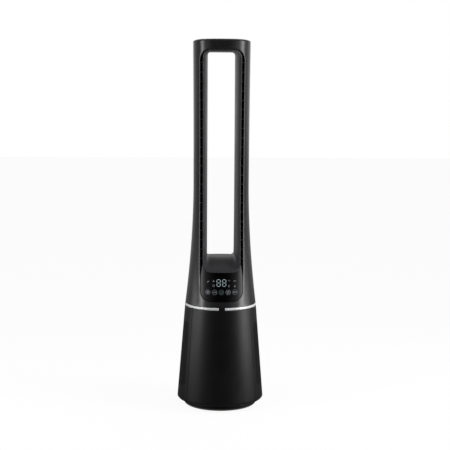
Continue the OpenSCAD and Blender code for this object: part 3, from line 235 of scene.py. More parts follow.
def grid_faces(rows, cols, wrap_cols=False, wrap_rows=False):
    """Quads over a grid of points numbered row by row."""
    out = []
    for k in range(rows if wrap_rows else rows - 1):
        for i in range(cols if wrap_cols else cols - 1):
            a, b = k * cols + i, k * cols + (i + 1) % cols
            c, d = ((k + 1) % rows) * cols + (i + 1) % cols, ((k + 1) % rows) * cols + i
            out.append((a, b, c, d))
    return out


def lathe(name, profile, body, mat, start=0.0, span=360.0, steps=144):
    """Turns a closed outline of (radius, height) about the Z axis, whole or over an angle."""
    full = span >= 360
    count = max(2, int(steps * span / 360))
    angles = [math.radians(start + span * i / count) for i in range(count if full else count + 1)]
    n = len(profile)
    verts = [(r * math.cos(a), r * math.sin(a), z) for a in angles for r, z in profile]
    faces = grid_faces(len(angles), n, wrap_cols=True, wrap_rows=full)
    if not full:
        faces += [tuple(range(n)), tuple(range((len(angles) - 1) * n, len(angles) * n))]
    return make(name, verts, faces, body, mat)


def fillet(points, steps=4):
    """Rounds the corners of a closed outline. Each point is (x, y) or (x, y, radius)."""
    out = []
    n = len(points)
    for i, p in enumerate(points):
        if len(p) < 3 or p[2] <= 0:
            out.append((p[0], p[1]))
            continue
        here = Vector(p[:2])
        a = (Vector(points[i - 1][:2]) - here).normalized()
        b = (Vector(points[(i + 1) % n][:2]) - here).normalized()
        half = a.angle(b) / 2
        reach = p[2] / math.tan(half)
        start, end = here + a * reach, here + b * reach
        for k in range(steps + 1):
            t = k / steps
            q = start * (1 - t) ** 2 + here * 2 * t * (1 - t) + end * t * t
            out.append((q.x, q.y))
    return out


def rod(name, r, a, b, body, mat, edge=0.3):
    """A round rod between two points with rounded rims, in millimetres."""
    a, b = Vector(a), Vector(b)
    axis = (b - a).normalized()
    u = axis.orthogonal().normalized()
    v = axis.cross(u)
    length = (b - a).length
    near = edge * 0.3
    stations = [(0, 0), (0, r - edge), (near, r - near), (edge, r),
                (length - edge, r), (length - near, r - near), (length, r - edge), (length, 0)]
    verts = []
    for s, rr in stations:
        for k in range(ROD_SIDES):
            t = 2 * PI * k / ROD_SIDES
            verts.append(tuple(a + axis * s + (u * math.cos(t) + v * math.sin(t)) * rr))
    return make(name, verts, grid_faces(len(stations), ROD_SIDES, wrap_cols=True), body, mat)


# ---------------------------------- materials

PLASTIC_IOR, WORN_EDGE, GRAIN_DEEP = 1.46, 0.5, 0.05
SCRATCH, SCRATCH_DEEP, TARNISH = 0.3, 0.03, 0.15
DARK_GLASS = (0.02, 0.02, 0.02)


class Nodes:
    """A short way to build a node tree."""

    def __init__(self, tree):
        self.tree = tree

    def add(self, kind, **values):
        node = self.tree.nodes.new(kind)
        for key, value in values.items():
            if hasattr(node, key):
                setattr(node, key, value)
            else:
                self.put(node, key.replace("_", " "), value)
        return node

    def put(self, node, key, value):
        socket = node.inputs[int(key[1:]) if key[:1] == "i" and key[1:].isdigit() else key]
        if isinstance(value, bpy.types.NodeSocket):
            self.tree.links.new(value, socket)
        else:
            socket.default_value = value

    def math(self, operation, a, b=0.0, c=0.0, limit=False):
        node = self.add("ShaderNodeMath", operation=operation, use_clamp=limit)
        for i, v in enumerate((a, b, c)):
            self.put(node, f"i{i}", v)
        return node.outputs[0]

    def noise(self, vector, size, detail=2.0, rough=0.5):
        """Noise whose features are about size millimetres across."""
        node = self.add("ShaderNodeTexNoise", Scale=1 / (size * MM), Detail=detail, Roughness=rough)
        self.tree.links.new(vector, node.inputs["Vector"])
        return node.outputs[0]

    def span(self, value, lo, hi, a=0.0, b=1.0):
        node = self.add("ShaderNodeMapRange")
        for key, v in (("Value", value), ("From Min", lo), ("From Max", hi), ("To Min", a), ("To Max", b)):
            self.put(node, key, v)
        return node.outputs[0]

    def blend(self, fac, a, b):
        node = self.add("ShaderNodeMix", data_type="RGBA")
        for i, v in ((0, fac), (6, a), (7, b)):
            self.put(node, f"i{i}", v)
        return node.outputs[2]

    def choose(self, fac, a, b):
        node = self.add("ShaderNodeMix", data_type="FLOAT")
        for i, v in ((0, fac), (2, a), (3, b)):
            self.put(node, f"i{i}", v)
        return node.outputs[0]

    def bump(self, shader, height, strength, deep):
        node = self.add("ShaderNodeBump", Strength=strength, Distance=deep * MM)
        self.put(node, "Height", height)
        self.put(shader, "Normal", node.outputs[0])


def new_material(name):
    """A material with its node helper, its shader and the object's coordinates."""
    mat = bpy.data.materials.new(name)
    mat.use_nodes = True
    n = Nodes(mat.node_tree)
    place = n.add("ShaderNodeTexCoord").outputs["Object"]
    return mat, n, mat.node_tree.nodes["Principled BSDF"], place


def rgb(c):
    return (c[0], c[1], c[2], 1.0)


def plastic(name, color, rough, grain=0.25, grain_size=0.45, level=0.5, mottle=0.12, spread=0.05,
            wear=0.25, metallic=0.0):
    """Moulded plastic, rubber or paint: fine grain, soft changes of gloss and tone, and worn edges."""
    mat, n, shader, place = new_material(name)
    shader.inputs["IOR"].default_value = PLASTIC_IOR
    shader.inputs["Specular IOR Level"].default_value = level
    shader.inputs["Metallic"].default_value = metallic
    wide = n.noise(place, 55, 3.0)
    fine = n.noise(place, 6, 4.0)
    tone = n.math("MULTIPLY_ADD", fine, 0.4, n.math("MULTIPLY", wide, 0.6))
    light = [min(1.0, c * (1 + 2 * mottle)) for c in color]
    dim = [c * (1 - mottle) for c in color]
    base = n.blend(n.span(tone, 0.35, 0.65), rgb(dim), rgb(light))
    gloss = n.span(tone, 0.3, 0.7, rough - spread, rough + spread)
    if wear:
        soft = n.add("ShaderNodeBevel", samples=4, Radius=WORN_EDGE * MM).outputs[0]
        sharp = n.add("ShaderNodeNewGeometry").outputs["Normal"]
        dot = n.add("ShaderNodeVectorMath", operation="DOT_PRODUCT")
        n.put(dot, "i0", soft)
        n.put(dot, "i1", sharp)
        worn = n.span(dot.outputs["Value"], 0.985, 0.86)
        worn = n.math("MULTIPLY", worn, n.span(fine, 0.35, 0.65, 0.3, 1.0), limit=True)
        worn = n.math("MULTIPLY", worn, wear)
        base = n.blend(worn, base, rgb([min(1.0, c * 1.6 + 0.03) for c in color]))
        gloss = n.math("MULTIPLY_ADD", worn, -0.12, gloss)
    n.put(shader, "Base Color", base)
    n.put(shader, "Roughness", gloss)
    if grain:
        n.bump(shader, n.noise(place, grain_size, 2.0, 0.6), grain, GRAIN_DEEP)
    return mat


def glow(name, color, strength):
    """A lit legend behind the dark panel."""
    mat, n, shader, place = new_material(name)
    shader.inputs["Roughness"].default_value = 0.3
    spots = n.span(n.noise(place, 1.6, 1.0), 0.3, 0.7, 0.82, 1.0)
    n.put(shader, "Base Color", n.blend(spots, rgb([c * 0.5 for c in DARK_GLASS]), rgb(DARK_GLASS)))
    n.put(shader, "Emission Color", n.blend(spots, rgb([c * 0.7 for c in color]), rgb(color)))
    shader.inputs["Emission Strength"].default_value = strength
    return mat


def metal(name, color, rough, stretch=None, size=0.5):
    """Metal with fine scratches or turning marks."""
    mat, n, shader, place = new_material(name)
    if stretch:
        warp = n.add("ShaderNodeVectorMath", operation="MULTIPLY")
        n.put(warp, "i0", place)
        n.put(warp, "i1", stretch)
        place = warp.outputs[0]
    shader.inputs["Metallic"].default_value = 1.0
    lines = n.noise(place, size, 3.0, 0.6)
    cloud = n.noise(place, 20, 3.0)
    dull = rgb([c * (1 - TARNISH) for c in color])
    n.put(shader, "Base Color", n.blend(n.span(cloud, 0.35, 0.7), rgb(color), dull))
    n.put(shader, "Roughness", n.span(lines, 0.3, 0.7, rough - 0.07, rough + 0.07))
    n.bump(shader, lines, SCRATCH, SCRATCH_DEEP)
    return mat


def paper(name, color):
    """Fibrous filter paper, greyed by dust in places."""
    mat, n, shader, place = new_material(name)
    shader.inputs["Roughness"].default_value = 0.9
    shader.inputs["Specular IOR Level"].default_value = 0.2
    fibre = n.noise(place, 0.8, 6.0, 0.7)
    grime = n.noise(place, 30, 3.0)
    tone = n.blend(n.span(fibre, 0.35, 0.65), rgb([c * 0.82 for c in color]), rgb(color))
    n.put(shader, "Base Color", n.blend(n.span(grime, 0.45, 0.75, 0, 0.35), tone, rgb([0.42, 0.40, 0.36])))
    n.bump(shader, fibre, 0.5, 0.1)
    return mat


def board(name, color):
    """A lacquered circuit board with copper tracks under the mask."""
    mat, n, shader, place = new_material(name)
    shader.inputs["Roughness"].default_value = 0.28
    tracks = n.add("ShaderNodeTexVoronoi", feature="DISTANCE_TO_EDGE", Scale=1 / (4 * MM))
    n.put(tracks, "Vector", place)
    line = n.span(tracks.outputs[0], 0.05, 0.09)
    n.put(shader, "Base Color", n.blend(line, rgb([c * 1.7 for c in color]), rgb(color)))
    n.bump(shader, line, 0.2, 0.04)
    return mat


SHELL = plastic("shell_black", (0.016, 0.016, 0.0165), 0.2, grain=0.04, level=0.7, spread=0.015, wear=0.1)
COVER = plastic("cover_black", (0.0035, 0.0035, 0.0037), 0.36, grain=0.12)
# The liner is the same black plastic as the shell, but its colour is painted lighter: a painted reflection of
# the bright backdrop that its walls mirror at a grazing angle
LINER_PAINTED_REFLECTION = plastic("liner_black", (0.040, 0.040, 0.044), 0.4, grain=0.05, level=0.5)
DARK = plastic("trim_black", (0.004, 0.004, 0.0042), 0.4)
PANEL = plastic("panel_gloss", (0.0006, 0.0006, 0.0008), 0.26, grain=0.0, level=0.35, mottle=0.3,
                spread=0.02, wear=0.0)
SILVER = plastic("trim_silver", (0.96, 0.97, 1.0), 0.38, grain=0.04, grain_size=0.3, mottle=0.02,
                 metallic=0.25, wear=0.15, level=0.8)
RUBBER = plastic("rubber_black", (0.012, 0.012, 0.012), 0.75, grain=0.5, grain_size=0.8, level=0.3)
INNER_AND_EDGE_SHADE = plastic("inner_plastic", (0.010, 0.010, 0.011), 0.5, grain=0.35, level=0.3)
ACETAL = plastic("acetal", (0.62, 0.61, 0.56), 0.35, grain=0.15, mottle=0.05)
STEEL = metal("steel", (0.56, 0.57, 0.58), 0.34)
COPPER = metal("copper", (0.66, 0.32, 0.16), 0.36, stretch=(1, 1, 0.1), size=0.7)
NET = plastic("filter_net", (0.012, 0.012, 0.013), 0.85, grain=1.0, grain_size=1.1, level=0.2)
PAPER = paper("filter_paper", (0.74, 0.73, 0.68))
BOARD = board("board_green", (0.02, 0.10, 0.045))
DIGITS = glow("display_light", (0.62, 0.80, 0.84), 0.5)
KEYS = glow("key_light", (0.80, 0.82, 0.92), 0.16)
POWER = glow("power_light", (0.5, 0.78, 0.8), 0.09)

SLOT_MATERIALS = {
    "shell_black": COVER, "liner_black": LINER_PAINTED_REFLECTION, "panel_gloss": PANEL, "display_light": DIGITS,
    "key_light": KEYS, "trim_silver": SILVER, "trim_black": DARK, "rubber_black": RUBBER,
    "steel": STEEL, "acetal": ACETAL, "inner_plastic": INNER_AND_EDGE_SHADE, "copper": COPPER,
    "board_green": BOARD, "filter_paper": PAPER, "filter_net": NET}
for row in frame["record"]["subparts"]:
    ob = nodes[row["node"]]
    ob.data.materials.clear()
    ob.data.materials.append(SLOT_MATERIALS[row["material_slot"]])


def place(ob, slot, *replaced):
    """Rides the piece on its body, and says which CAD nodes it stands for."""
    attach(ob, ob["ride"])
    if replaced:
        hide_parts(*replaced)
    return ob


# ---------------------------------- foot

def foot():
    """The bowl-shaped disc, with a pocket for the power inlet and a rib inside."""
    def curve(inset):
        r = FOOT_ROUND - inset
        return [(FOOT_R - FOOT_ROUND + r * math.sin(t), FOOT_LIFT + inset + r * (1 - math.cos(t)))
                for t in quarter(12)]

    top = FOOT_LIFT + FOOT_WALL
    rim = [(FOOT_R, FOOT_H - RIM_ROUND), (FOOT_R - RIM_MID, FOOT_H - RIM_MID),
           (FOOT_R - RIM_ROUND, FOOT_H), (FOOT_R - FOOT_WALL, FOOT_H)]
    profile = ([(AXIS_R, FOOT_LIFT), (FOOT_FLAT, FOOT_LIFT)] + curve(0) + rim + curve(FOOT_WALL)[::-1]
               + [(FOOT_FLAT, top), (AXIS_R, top)])
    disc = lathe("foot_shell", profile, "foot", COVER)
    box = [(x, y, z) for z in (POCKET_LO[2], POCKET_HI[2]) for y in (POCKET_LO[1], POCKET_HI[1])
           for x in (POCKET_LO[0], POCKET_HI[0])]
    faces = [(0, 1, 3, 2), (4, 6, 7, 5), (0, 4, 5, 1), (2, 3, 7, 6), (0, 2, 6, 4), (1, 5, 7, 3)]
    cut(disc, make("foot_pocket", box, faces, "foot", COVER))
    rib = [(RIB_IN, RIB_LO), (RIB_OUT, RIB_LO), (RIB_OUT, RIB_HI), (RIB_IN, RIB_HI)]
    join(disc, lathe("foot_rib", rib, "foot", COVER, RIB_START, RIB_SPAN))
    shade(disc)
    place(disc, "shell_black", "foot_disc")


foot()


# ---------------------------------- lower body

def cover_inset(z):
    """How far the cover's skin draws in near its lower and upper edges."""
    return rounding(z - SKIRT_Z, COVER_ROUND) + rounding(WAIST_Z - z, WAIST_ROUND)


# How far in from a seam, and down from the waist, the skin's first lines of points lie
EDGE_STEPS, WAIST_STEPS = (0.0, 0.12, 0.35, 0.7), (0.8, 0.45, 0.2, 0.0)
HOLE_SIDES = 8


def cover_skin(name, body, a0, a1, columns, rows, holes):
    """A skin of the lower body between two seams, with eight-sided holes at grid cells."""
    turn = math.degrees(SEAM / 2 / WAIST_R)
    a0, a1 = a0 + turn, a1 - turn
    deg = 180 / PI / MEAN_R
    lower = [SKIRT_Z + COVER_ROUND * (1 - math.cos(t)) for t in quarter(6)]
    angles = [a0 + e * deg for e in EDGE_STEPS] + columns + [a1 - e * deg for e in reversed(EDGE_STEPS)]
    heights = lower + rows + [WAIST_Z - d for d in WAIST_STEPS]

    def point(a, z, extra=0.0):
        r = body_r(z) - cover_inset(z) - extra
        return (r * math.cos(math.radians(a)), r * math.sin(math.radians(a)), z)

    n = len(angles)
    verts = [point(a, z, rounding(min(a - a0, a1 - a) / deg, SEAM_ROUND)) for z in heights for a in angles]
    taken, faces = set(), []
    for (j, k) in holes:
        c, r = len(EDGE_STEPS) + j, len(lower) + k
        corner = [r * n + c, r * n + c + 1, r * n + c + 2,
                  (r + 1) * n + c + 2, (r + 1) * n + c + 1, (r + 1) * n + c]
        taken.update(((c, r), (c + 1, r)))
        mid_a, mid_z = angles[c + 1], (heights[r] + heights[r + 1]) / 2
        rr = body_r(mid_z)
        ring = []
        for q in range(HOLE_SIDES):
            t = 2 * PI * (q + 0.5) / HOLE_SIDES
            ring.append(len(verts))
            aside, up = HOLE_D / 2 * math.cos(t), HOLE_D / 2 * math.sin(t)
            verts.append(point(mid_a + math.degrees(aside / rr), mid_z + up))
        bl, bm, br, tr, tm, tl = corner
        h = ring
        faces += [(br, tr, h[0], h[7]), (tr, h[1], h[0]), (tr, tm, h[1]), (tm, h[2], h[1]), (tm, tl, h[2]),
                  (tl, h[3], h[2]), (tl, bl, h[4], h[3]), (bl, h[5], h[4]), (bl, bm, h[5]), (bm, h[6], h[5]),
                  (bm, br, h[6]), (br, h[7], h[6])]
    for r in range(len(heights) - 1):
        for c in range(n - 1):
            if (c, r) not in taken:
                faces.append((r * n + c, r * n + c + 1, (r + 1) * n + c + 1, (r + 1) * n + c))
    ob = make(name, verts, faces, body, COVER, sharp=45, out=lambda p: Vector((p.x, p.y, 0)).normalized())
    thicken(ob, COVER_WALL)
    return ob


# Spacing of the covers' points, in degrees round them and in millimetres up them
FRONT_EDGE, FRONT_STEP, SIDE_EDGE, SIDE_STEP, LOW_STEP = 1.5, 2.5, 1.2, 2.6, 8
NOTCH_Y = (84, 110)


def spread(lo, hi, step):
    """Evenly spaced values from lo to hi, about a step apart."""
    count = max(1, round((hi - lo) / step))
    return [lo + (hi - lo) * i / count for i in range(count + 1)]


def front_cover():
    """The plain cover with its screw bosses."""
    lo, hi = -90 - HALF_FRONT, -90 + HALF_FRONT
    columns = spread(lo + FRONT_EDGE, hi - FRONT_EDGE, FRONT_STEP)
    ob = cover_skin("front_skin", "head", lo, hi, columns, spread(PLAIN_LO, PLAIN_HI, PLAIN_STEP), [])
    bosses = []
    for x in BOSS_X:
        for z in BOSS_Z:
            far = -math.sqrt((body_r(z) - WALL_BITE) ** 2 - x * x)
            bosses.append(rod("front_boss", BOSS_R, (x, far, z), (x, BOSS_END, z), "head", COVER))
    join(ob, *bosses)
    shade(ob)
    place(ob, "shell_black", "front_cover")


def side_cover(side):
    """A side cover with its fine perforation, seen from outside; side is +1 right, -1 left."""
    name = "right" if side > 0 else "left"
    body = name + "_cover"
    seam = -90 + HALF_FRONT
    pitch = PITCH / MEAN_R * 180 / PI
    lo_a, hi_a = seam + MARGIN, 90 - REAR_MARGIN
    cells = int((hi_a - lo_a) / (pitch / 2))
    cells -= cells % 2
    lo_a = (lo_a + hi_a) / 2 - cells * pitch / 4
    pattern = [lo_a + i * pitch / 2 for i in range(cells + 1)]
    before = spread(seam + SIDE_EDGE, lo_a, SIDE_STEP)[:-1]
    after = spread(pattern[-1], 90 - SIDE_EDGE, SIDE_STEP)[1:]
    row_h = PITCH * math.sqrt(3) / 2
    count = int((INTAKE_HI - INTAKE_LO) / row_h)
    low = spread(PLAIN_LO, INTAKE_LO, LOW_STEP)[:-1]
    rows = [INTAKE_LO + k * row_h for k in range(count + 1)]
    high = spread(rows[-1], PLAIN_HI, PLAIN_STEP)[1:]
    holes = []
    width = (pattern[-1] - pattern[0]) * PI / 180 * MEAN_R
    tall = rows[-1] - rows[0]
    for k in range(count):
        for j in range(k % 2, cells - 1 - (k % 2), 2):
            x = (j + 1) * PITCH / 2
            z = (k + 0.5) * row_h
            dx, dz = INTAKE_CORNER - min(x, width - x), INTAKE_CORNER - min(z, tall - z)
            if dx > 0 and dz > 0 and math.hypot(dx, dz) > INTAKE_CORNER:
                continue
            a = pattern[0] + (j + 1) * pitch / 2
            bx = math.radians(90 - a) * MEAN_R
            bz = INTAKE_LO + z - BUTTON_Z
            if math.hypot(bx, bz) < BUTTON_R + BUTTON_CLEAR:
                continue
            holes.append((j + len(before), k + len(low)))
    ob = cover_skin("side_skin_" + name, body, seam, 90, before + pattern + after, low + rows + high, holes)
    parts = []
    for z in SHELVES:
        top = z + SHELF_T
        outline = [(SHELF_R, z, 0.4), (body_r(z) - WALL_BITE, z), (body_r(top) - WALL_BITE, top),
                   (SHELF_R, top, 0.4)]
        parts.append(lathe("shelf", fillet(outline, 2), body, COVER, seam + SHELF_START, SHELF_SPAN))
    join(ob, *parts)
    near, far = (0, NOTCH_Y[0], BUTTON_Z), (0, NOTCH_Y[1], BUTTON_Z)
    cut(ob, rod("button_hole", BUTTON_R + SEAM, near, far, body, COVER, edge=0.01))
    if side < 0:
        ob.data.transform(Matrix.Scale(-1, 4, (1, 0, 0)))
        ob.data.flip_normals()
    shade(ob)
    place(ob, "shell_black", "side_cover_" + name)


front_cover()
side_cover(1)
side_cover(-1)


def button():
    """The release button, dished for a fingertip, with its stem."""
    face = body_r(BUTTON_Z) + BUTTON_PROUD
    flat = BUTTON_R - BUTTON_RIM
    outline = fillet([(0, 0), (flat, 0.0), (BUTTON_R, 0.0, 1.0), (BUTTON_R, -BUTTON_HEAD, 0.3),
                      (STEM_R, -BUTTON_HEAD), (STEM_R, -STEM_END, 0.4), (0, -STEM_END)], 4)
    profile = []
    for r, y in outline:
        dish = BUTTON_DISH * (1 - clamp(r / flat) ** 2) if y > -0.5 else 0.0
        profile.append((r, y - dish))
    rim = profile[1]
    bowl = [(rim[0] * s, -BUTTON_DISH * (1 - s * s)) for s in (0.15, 0.35, 0.55, 0.75, 0.9)]
    profile = [profile[0]] + bowl + profile[1:]
    sides = 64
    verts = [(r * math.cos(2 * PI * i / sides), face + y, BUTTON_Z + r * math.sin(2 * PI * i / sides))
             for r, y in profile for i in range(sides)]
    ob = make("button_cap", verts, grid_faces(len(profile), sides, wrap_cols=True), "button", DARK)
    place(ob, "trim_black", "release_button")


button()


def trim():
    """The silver band between body and tower, open at the front for the dark joining block."""
    inner, z0, z1 = SPIGOT_R + SPIGOT_GAP, RING_Z, RING_Z + RING_H
    out = WAIST_R + RING_PROUD
    outline = fillet([(inner, z0), (out - 0.2, z0, 0.7), (out + 0.1, z0 + 2.2, 2.0), (out - 0.6, z1, 1.1),
                      (inner, z1)], 5)
    band = lathe("trim_band", outline, "head", SILVER, -90 + BLOCK_TURN, 360 - 2 * BLOCK_TURN, 180)
    bevel(band, 0.25, 2, 60)
    apply(band)
    place(band, "trim_silver", "trim_ring")
    out -= BLOCK_INSET
    lo, hi, turn = z0 + BLOCK_PLAY, z1 - BLOCK_PLAY, BLOCK_TURN - BLOCK_PLAY
    outline = fillet([(inner, lo), (out, lo, 0.5), (out, hi, 0.5), (inner, hi)], 3)
    block = lathe("trim_block", outline, "head", DARK, -90 - turn, 2 * turn, 360)
    place(block, "trim_black", "ring_block")


trim()


# ---------------------------------- tower shells

FLAT_SHARE, FLAT_STEPS = 0.62, 14


def window(half, lo, hi, r_low, r_high, side_steps, arc):
    """The outline of an upright rounded window, and for each point its partner on the shell's border.

    A partner is (share across, height). The share runs from -1 at the left seam to 1 at the right.
    Its height is None at the foot, 0 to 1 up the lower corner, ("z", height) along a side, 2 to 3 up
    the upper corner."""
    inner, outer = [], []
    w_low, w_high = half - r_low, half - r_high

    def add(x, z, u, zz):
        inner.append((x, z))
        outer.append((u, zz))

    def flat(w, z, way, zz):
        for i in range(FLAT_STEPS):
            t = way * (2 * i / FLAT_STEPS - 1)
            add(w * t, z, FLAT_SHARE * t, zz)

    def corner(x, z, r, turn, partner):
        for k in range(arc):
            a = turn + k / arc * PI / 2
            add(x + r * math.cos(a), z + r * math.sin(a), *partner(k / arc * 2))

    def upright(x, u, z0, z1):
        for k in range(side_steps):
            z = mix(z0, z1, k / side_steps)
            add(x, z, u, ("z", z))

    low, high, f = lo + r_low, hi - r_high, FLAT_SHARE
    flat(w_low, lo, 1, None)
    corner(w_low, low, r_low, -PI / 2, lambda t: (mix(f, 1, t), None) if t < 1 else (1, t - 1))
    upright(half, 1, low, high)
    corner(w_high, high, r_high, 0, lambda t: (1, 2 + t) if t < 1 else (mix(1, f, t - 1), 3))
    flat(w_high, hi, -1, 3)
    corner(-w_high, high, r_high, PI / 2, lambda t: (-mix(f, 1, t), 3) if t < 1 else (-1, 4 - t))
    upright(-half, -1, high, low)
    corner(-w_low, low, r_low, PI, lambda t: (-1, 1 - t) if t < 1 else (-mix(1, f, t - 1), None))
    border = []
    for u, zz in outer:
        if zz is None:
            z = TOWER_Z
        elif isinstance(zz, tuple):
            z = zz[1]
        elif zz <= 1:
            z = mix(TOWER_Z, low, zz)
        else:
            z = mix(high, TOP_Z, zz - 2)
        border.append((u, z))
    return inner, border


def tower_point(angle, z, side):
    """A point of the tower's skin by the angle parameter of its section, 0 at +x and pi at -x."""
    inset = rounding(TOP_Z - z, TOP_ROUND)
    p, a, b = power(z), half_w(z) - inset, half_d(z) - inset
    c, s = math.cos(angle), math.sin(angle)
    return (a * math.copysign(abs(c) ** (2 / p), c), side * b * max(0.0, s) ** (2 / p), z)


def tower_angle(x, z):
    p = power(z)
    return math.acos(math.copysign(clamp(abs(x) / half_w(z)) ** (p / 2), x))


def seam_angle(z):
    return math.asin((SEAM / 2 / half_d(z)) ** (power(z) / 2))


def seam_tongue(side):
    """A strip inside the rear shell that laps the seam, so that no light comes through it."""
    heights = spread(TOWER_Z + TONGUE_LO, TOP_Z - TONGUE_HI, 12)
    corners = [(TONGUE_OUT, -TONGUE_HALF), (TONGUE_OUT, TONGUE_HALF), (TONGUE_IN, TONGUE_HALF),
               (TONGUE_IN, -TONGUE_HALF)]
    verts = [(side * (half_w(z) - TOWER_WALL - inward), y, z) for z in heights for inward, y in corners]
    faces = grid_faces(len(heights), 4, wrap_cols=True)
    faces += [(0, 1, 2, 3), tuple(range(len(verts) - 4, len(verts)))]
    return make("seam_tongue", verts, faces, "head", SHELL)


def lip_drop(share, z):
    """How far the front shell's face draws in beside the air slot."""
    return LIP_DROP * clamp(1 - share / LIP_SHARE) ** 2 * clamp((z - LIP_LO) / LIP_RISE)


def tower_shell(name, side, opening, node, shares):
    inner, border = opening
    n = len(inner)
    verts = []
    for s in shares:
        for (x, z), (u, zo) in zip(inner, border):
            a_in = tower_angle(widen(x, z, OPEN_A) if side < 0 else x, z)
            edge = seam_angle(zo)
            a_out = PI / 2 - u * (PI / 2 - edge)
            zz = mix(z, zo, s)
            x, y, zz = tower_point(mix(a_in, a_out, s), zz, side)
            verts.append((x, y + (lip_drop(s, zz) if side < 0 else 0), zz))
    faces = grid_faces(len(shares), n, wrap_cols=True)
    ob = make(name, verts, faces, "head", SHELL, sharp=40, out=lambda p: Vector((p.x, p.y, 0)).normalized())
    # The rim faces round the shell's open edges, the window's edges among them, take the darker, duller inner
    # plastic: painted shade that keeps the slot's edges dark
    ob.data.materials.append(INNER_AND_EDGE_SHADE)
    thicken(ob, TOWER_WALL, 0.2, 2, rim=1)
    if side > 0:
        join(ob, seam_tongue(-1), seam_tongue(1))
    shade(ob)
    place(ob, "shell_black", node)
    return ob


FRONT_SHARES = [0, 0.012, 0.03, 0.05, 0.075, 0.11, 0.18, 0.28, 0.4, 0.52, 0.64, 0.74, 0.82, 0.88,
                0.925, 0.95, 0.965, 0.98, 0.99, 1.0]
REAR_SHARES = [k / 26 for k in range(25)] + [0.97, 0.985, 0.993, 1.0]
WALL = LINER_WALL + 0.3
tower_shell("tower_front", -1, window(OPEN_A, PANEL_Z, OPEN_TOP, PANEL_CORNER, OPEN_CORNER, 110, 14),
            "tower_front_shell", FRONT_SHARES)
tower_shell("tower_rear", 1, window(BACK_A + WALL, FLOOR_Z - WALL, BACK_TOP + WALL, BACK_CORNER + WALL,
                                    BACK_CORNER + WALL, 90, 12), "tower_rear_shell", REAR_SHARES)


# ---------------------------------- air liner

FLAT, ARC, SIDE, BUNCH = 24, 12, 60, 1.25


def liner_outline(half, lo, hi, r):
    """A rounded upright outline, its side points closer together towards the foot."""
    w = half - r
    sides = [(k / SIDE) ** BUNCH for k in range(SIDE)]
    pts = []

    def corner(x, z, start):
        for k in range(ARC):
            a = start + PI / 2 * k / ARC
            pts.append((x + r * math.cos(a), z + r * math.sin(a)))

    pts += [(mix(-w, w, k / FLAT), lo) for k in range(FLAT)]
    corner(w, lo + r, -PI / 2)
    pts += [(half, mix(lo + r, hi - r, s)) for s in sides]
    corner(w, hi - r, 0)
    pts += [(mix(w, -w, k / FLAT), hi) for k in range(FLAT)]
    corner(-w, hi - r, PI / 2)
    pts.append((-half, hi - r))
    pts += [(-half, mix(lo + r, hi - r, s)) for s in reversed(sides[1:])]
    corner(-w, lo + r, PI)
    return pts


FRONT_SHARE, FLARE_CURVE, LINER_BACK = 0.2, 2.2, 3


def liner_ring(t, out, push=0.0, lip=0.0):
    """The liner's outline at a share t of its depth, thicker by out, with a lip round its front."""
    flaring = clamp(1 - t / THROAT) ** FLARE_CURVE
    if t < THROAT:
        half = mix(THROAT_A, FRONT_A, flaring) + out
    else:
        half = mix(THROAT_A, BACK_A, ((t - THROAT) / (1 - THROAT)) ** 2) + out
    lo = FLOOR_Z - SCOOP_DROP * clamp(1 - t / SCOOP_SHARE) ** 2 - out
    hi = mix(FRONT_TOP, BACK_TOP, t) + out + lip * clamp(1 - t / FRONT_SHARE)
    r = mix(BACK_CORNER, FRONT_CORNER, flaring) + out
    ring = []
    for x, z in liner_outline(half, lo, hi, r):
        x = widen(x, z, half, flaring)
        near = LINER_BACK * clamp((z - SCOOP_Z) / FRONT_CORNER) - face_y(x, z)
        ring.append((x, mix(near, face_y(x, z), t) + push, z))
    return ring


def liner():
    """The loop's inner wall, from its rounded front edge through its throat to the back."""
    steps = 30
    rings = [liner_ring(k / steps, 0) for k in range(steps + 1)]
    rings.append(liner_ring(1, LINER_WALL * 0.5, 0.15))
    rings += [liner_ring(k / steps, LINER_WALL, 0.0, TOP_LIP) for k in range(steps, -1, -2)]
    for share, push, lip in ((0.75, -0.35, 0.85), (0.4, -0.5, 0.5), (0.12, -0.3, 0.12)):
        rings.append(liner_ring(0, LINER_WALL * share, push, TOP_LIP * lip))
    n = len(rings[0])
    verts = [p for r in rings for p in r]
    faces = grid_faces(len(rings), n, wrap_cols=True, wrap_rows=True)
    place(make("loop_liner", verts, faces, "head", LINER_PAINTED_REFLECTION, sharp=50), "liner_black", "air_liner")


liner()


# ---------------------------------- top cap

CAP_SHARES = (0.985, 0.965, 0.93, 0.87, 0.8, 0.7, 0.6, 0.48, 0.36, 0.24, 0.12, 0.02)


def cap():
    """The crowned lid, with a skirt that sits inside the tower."""
    edge_z = TOP_Z + CAP_EDGE
    count = 160

    def ring(s, z, extra=0.0):
        p = power(TOP_Z)
        a, b = half_w(TOP_Z) - CAP_INSET - extra, half_d(TOP_Z) - CAP_INSET - extra
        out = []
        for i in range(count):
            t = 2 * PI * i / count
            c, si = math.cos(t), math.sin(t)
            x = s * a * math.copysign(abs(c) ** (2 / p), c)
            out.append((x, s * b * math.copysign(abs(si) ** (2 / p), si), z))
        return out

    inner = [ring(1, TOP_Z - CAP_SKIRT, CAP_WALL), ring(1, TOP_Z - 1.6, CAP_WALL), ring(0.5, TOP_Z - 1.6),
             ring(0.02, TOP_Z - 1.6)]
    rows = list(reversed(inner))
    rows += [ring(1, TOP_Z - CAP_SKIRT, CAP_PLAY), ring(1, TOP_Z - 1.2, CAP_PLAY), ring(1, TOP_Z - 0.9),
             ring(1, edge_z - 0.7), ring(1, edge_z - 0.2, 0.2), ring(1, edge_z, 0.6)]
    rows += [ring(s, edge_z + CAP_CROWN * (1 - s ** 9)) for s in CAP_SHARES]
    verts = [p for r in rows for p in r]
    faces = grid_faces(len(rows), count, wrap_cols=True)
    faces += [tuple(range(count)), tuple(range((len(rows) - 1) * count, len(rows) * count))]
    place(make("top_lid", verts, faces, "head", SHELL, sharp=35), "shell_black", "top_cap")


cap()


# ---------------------------------- touch panel

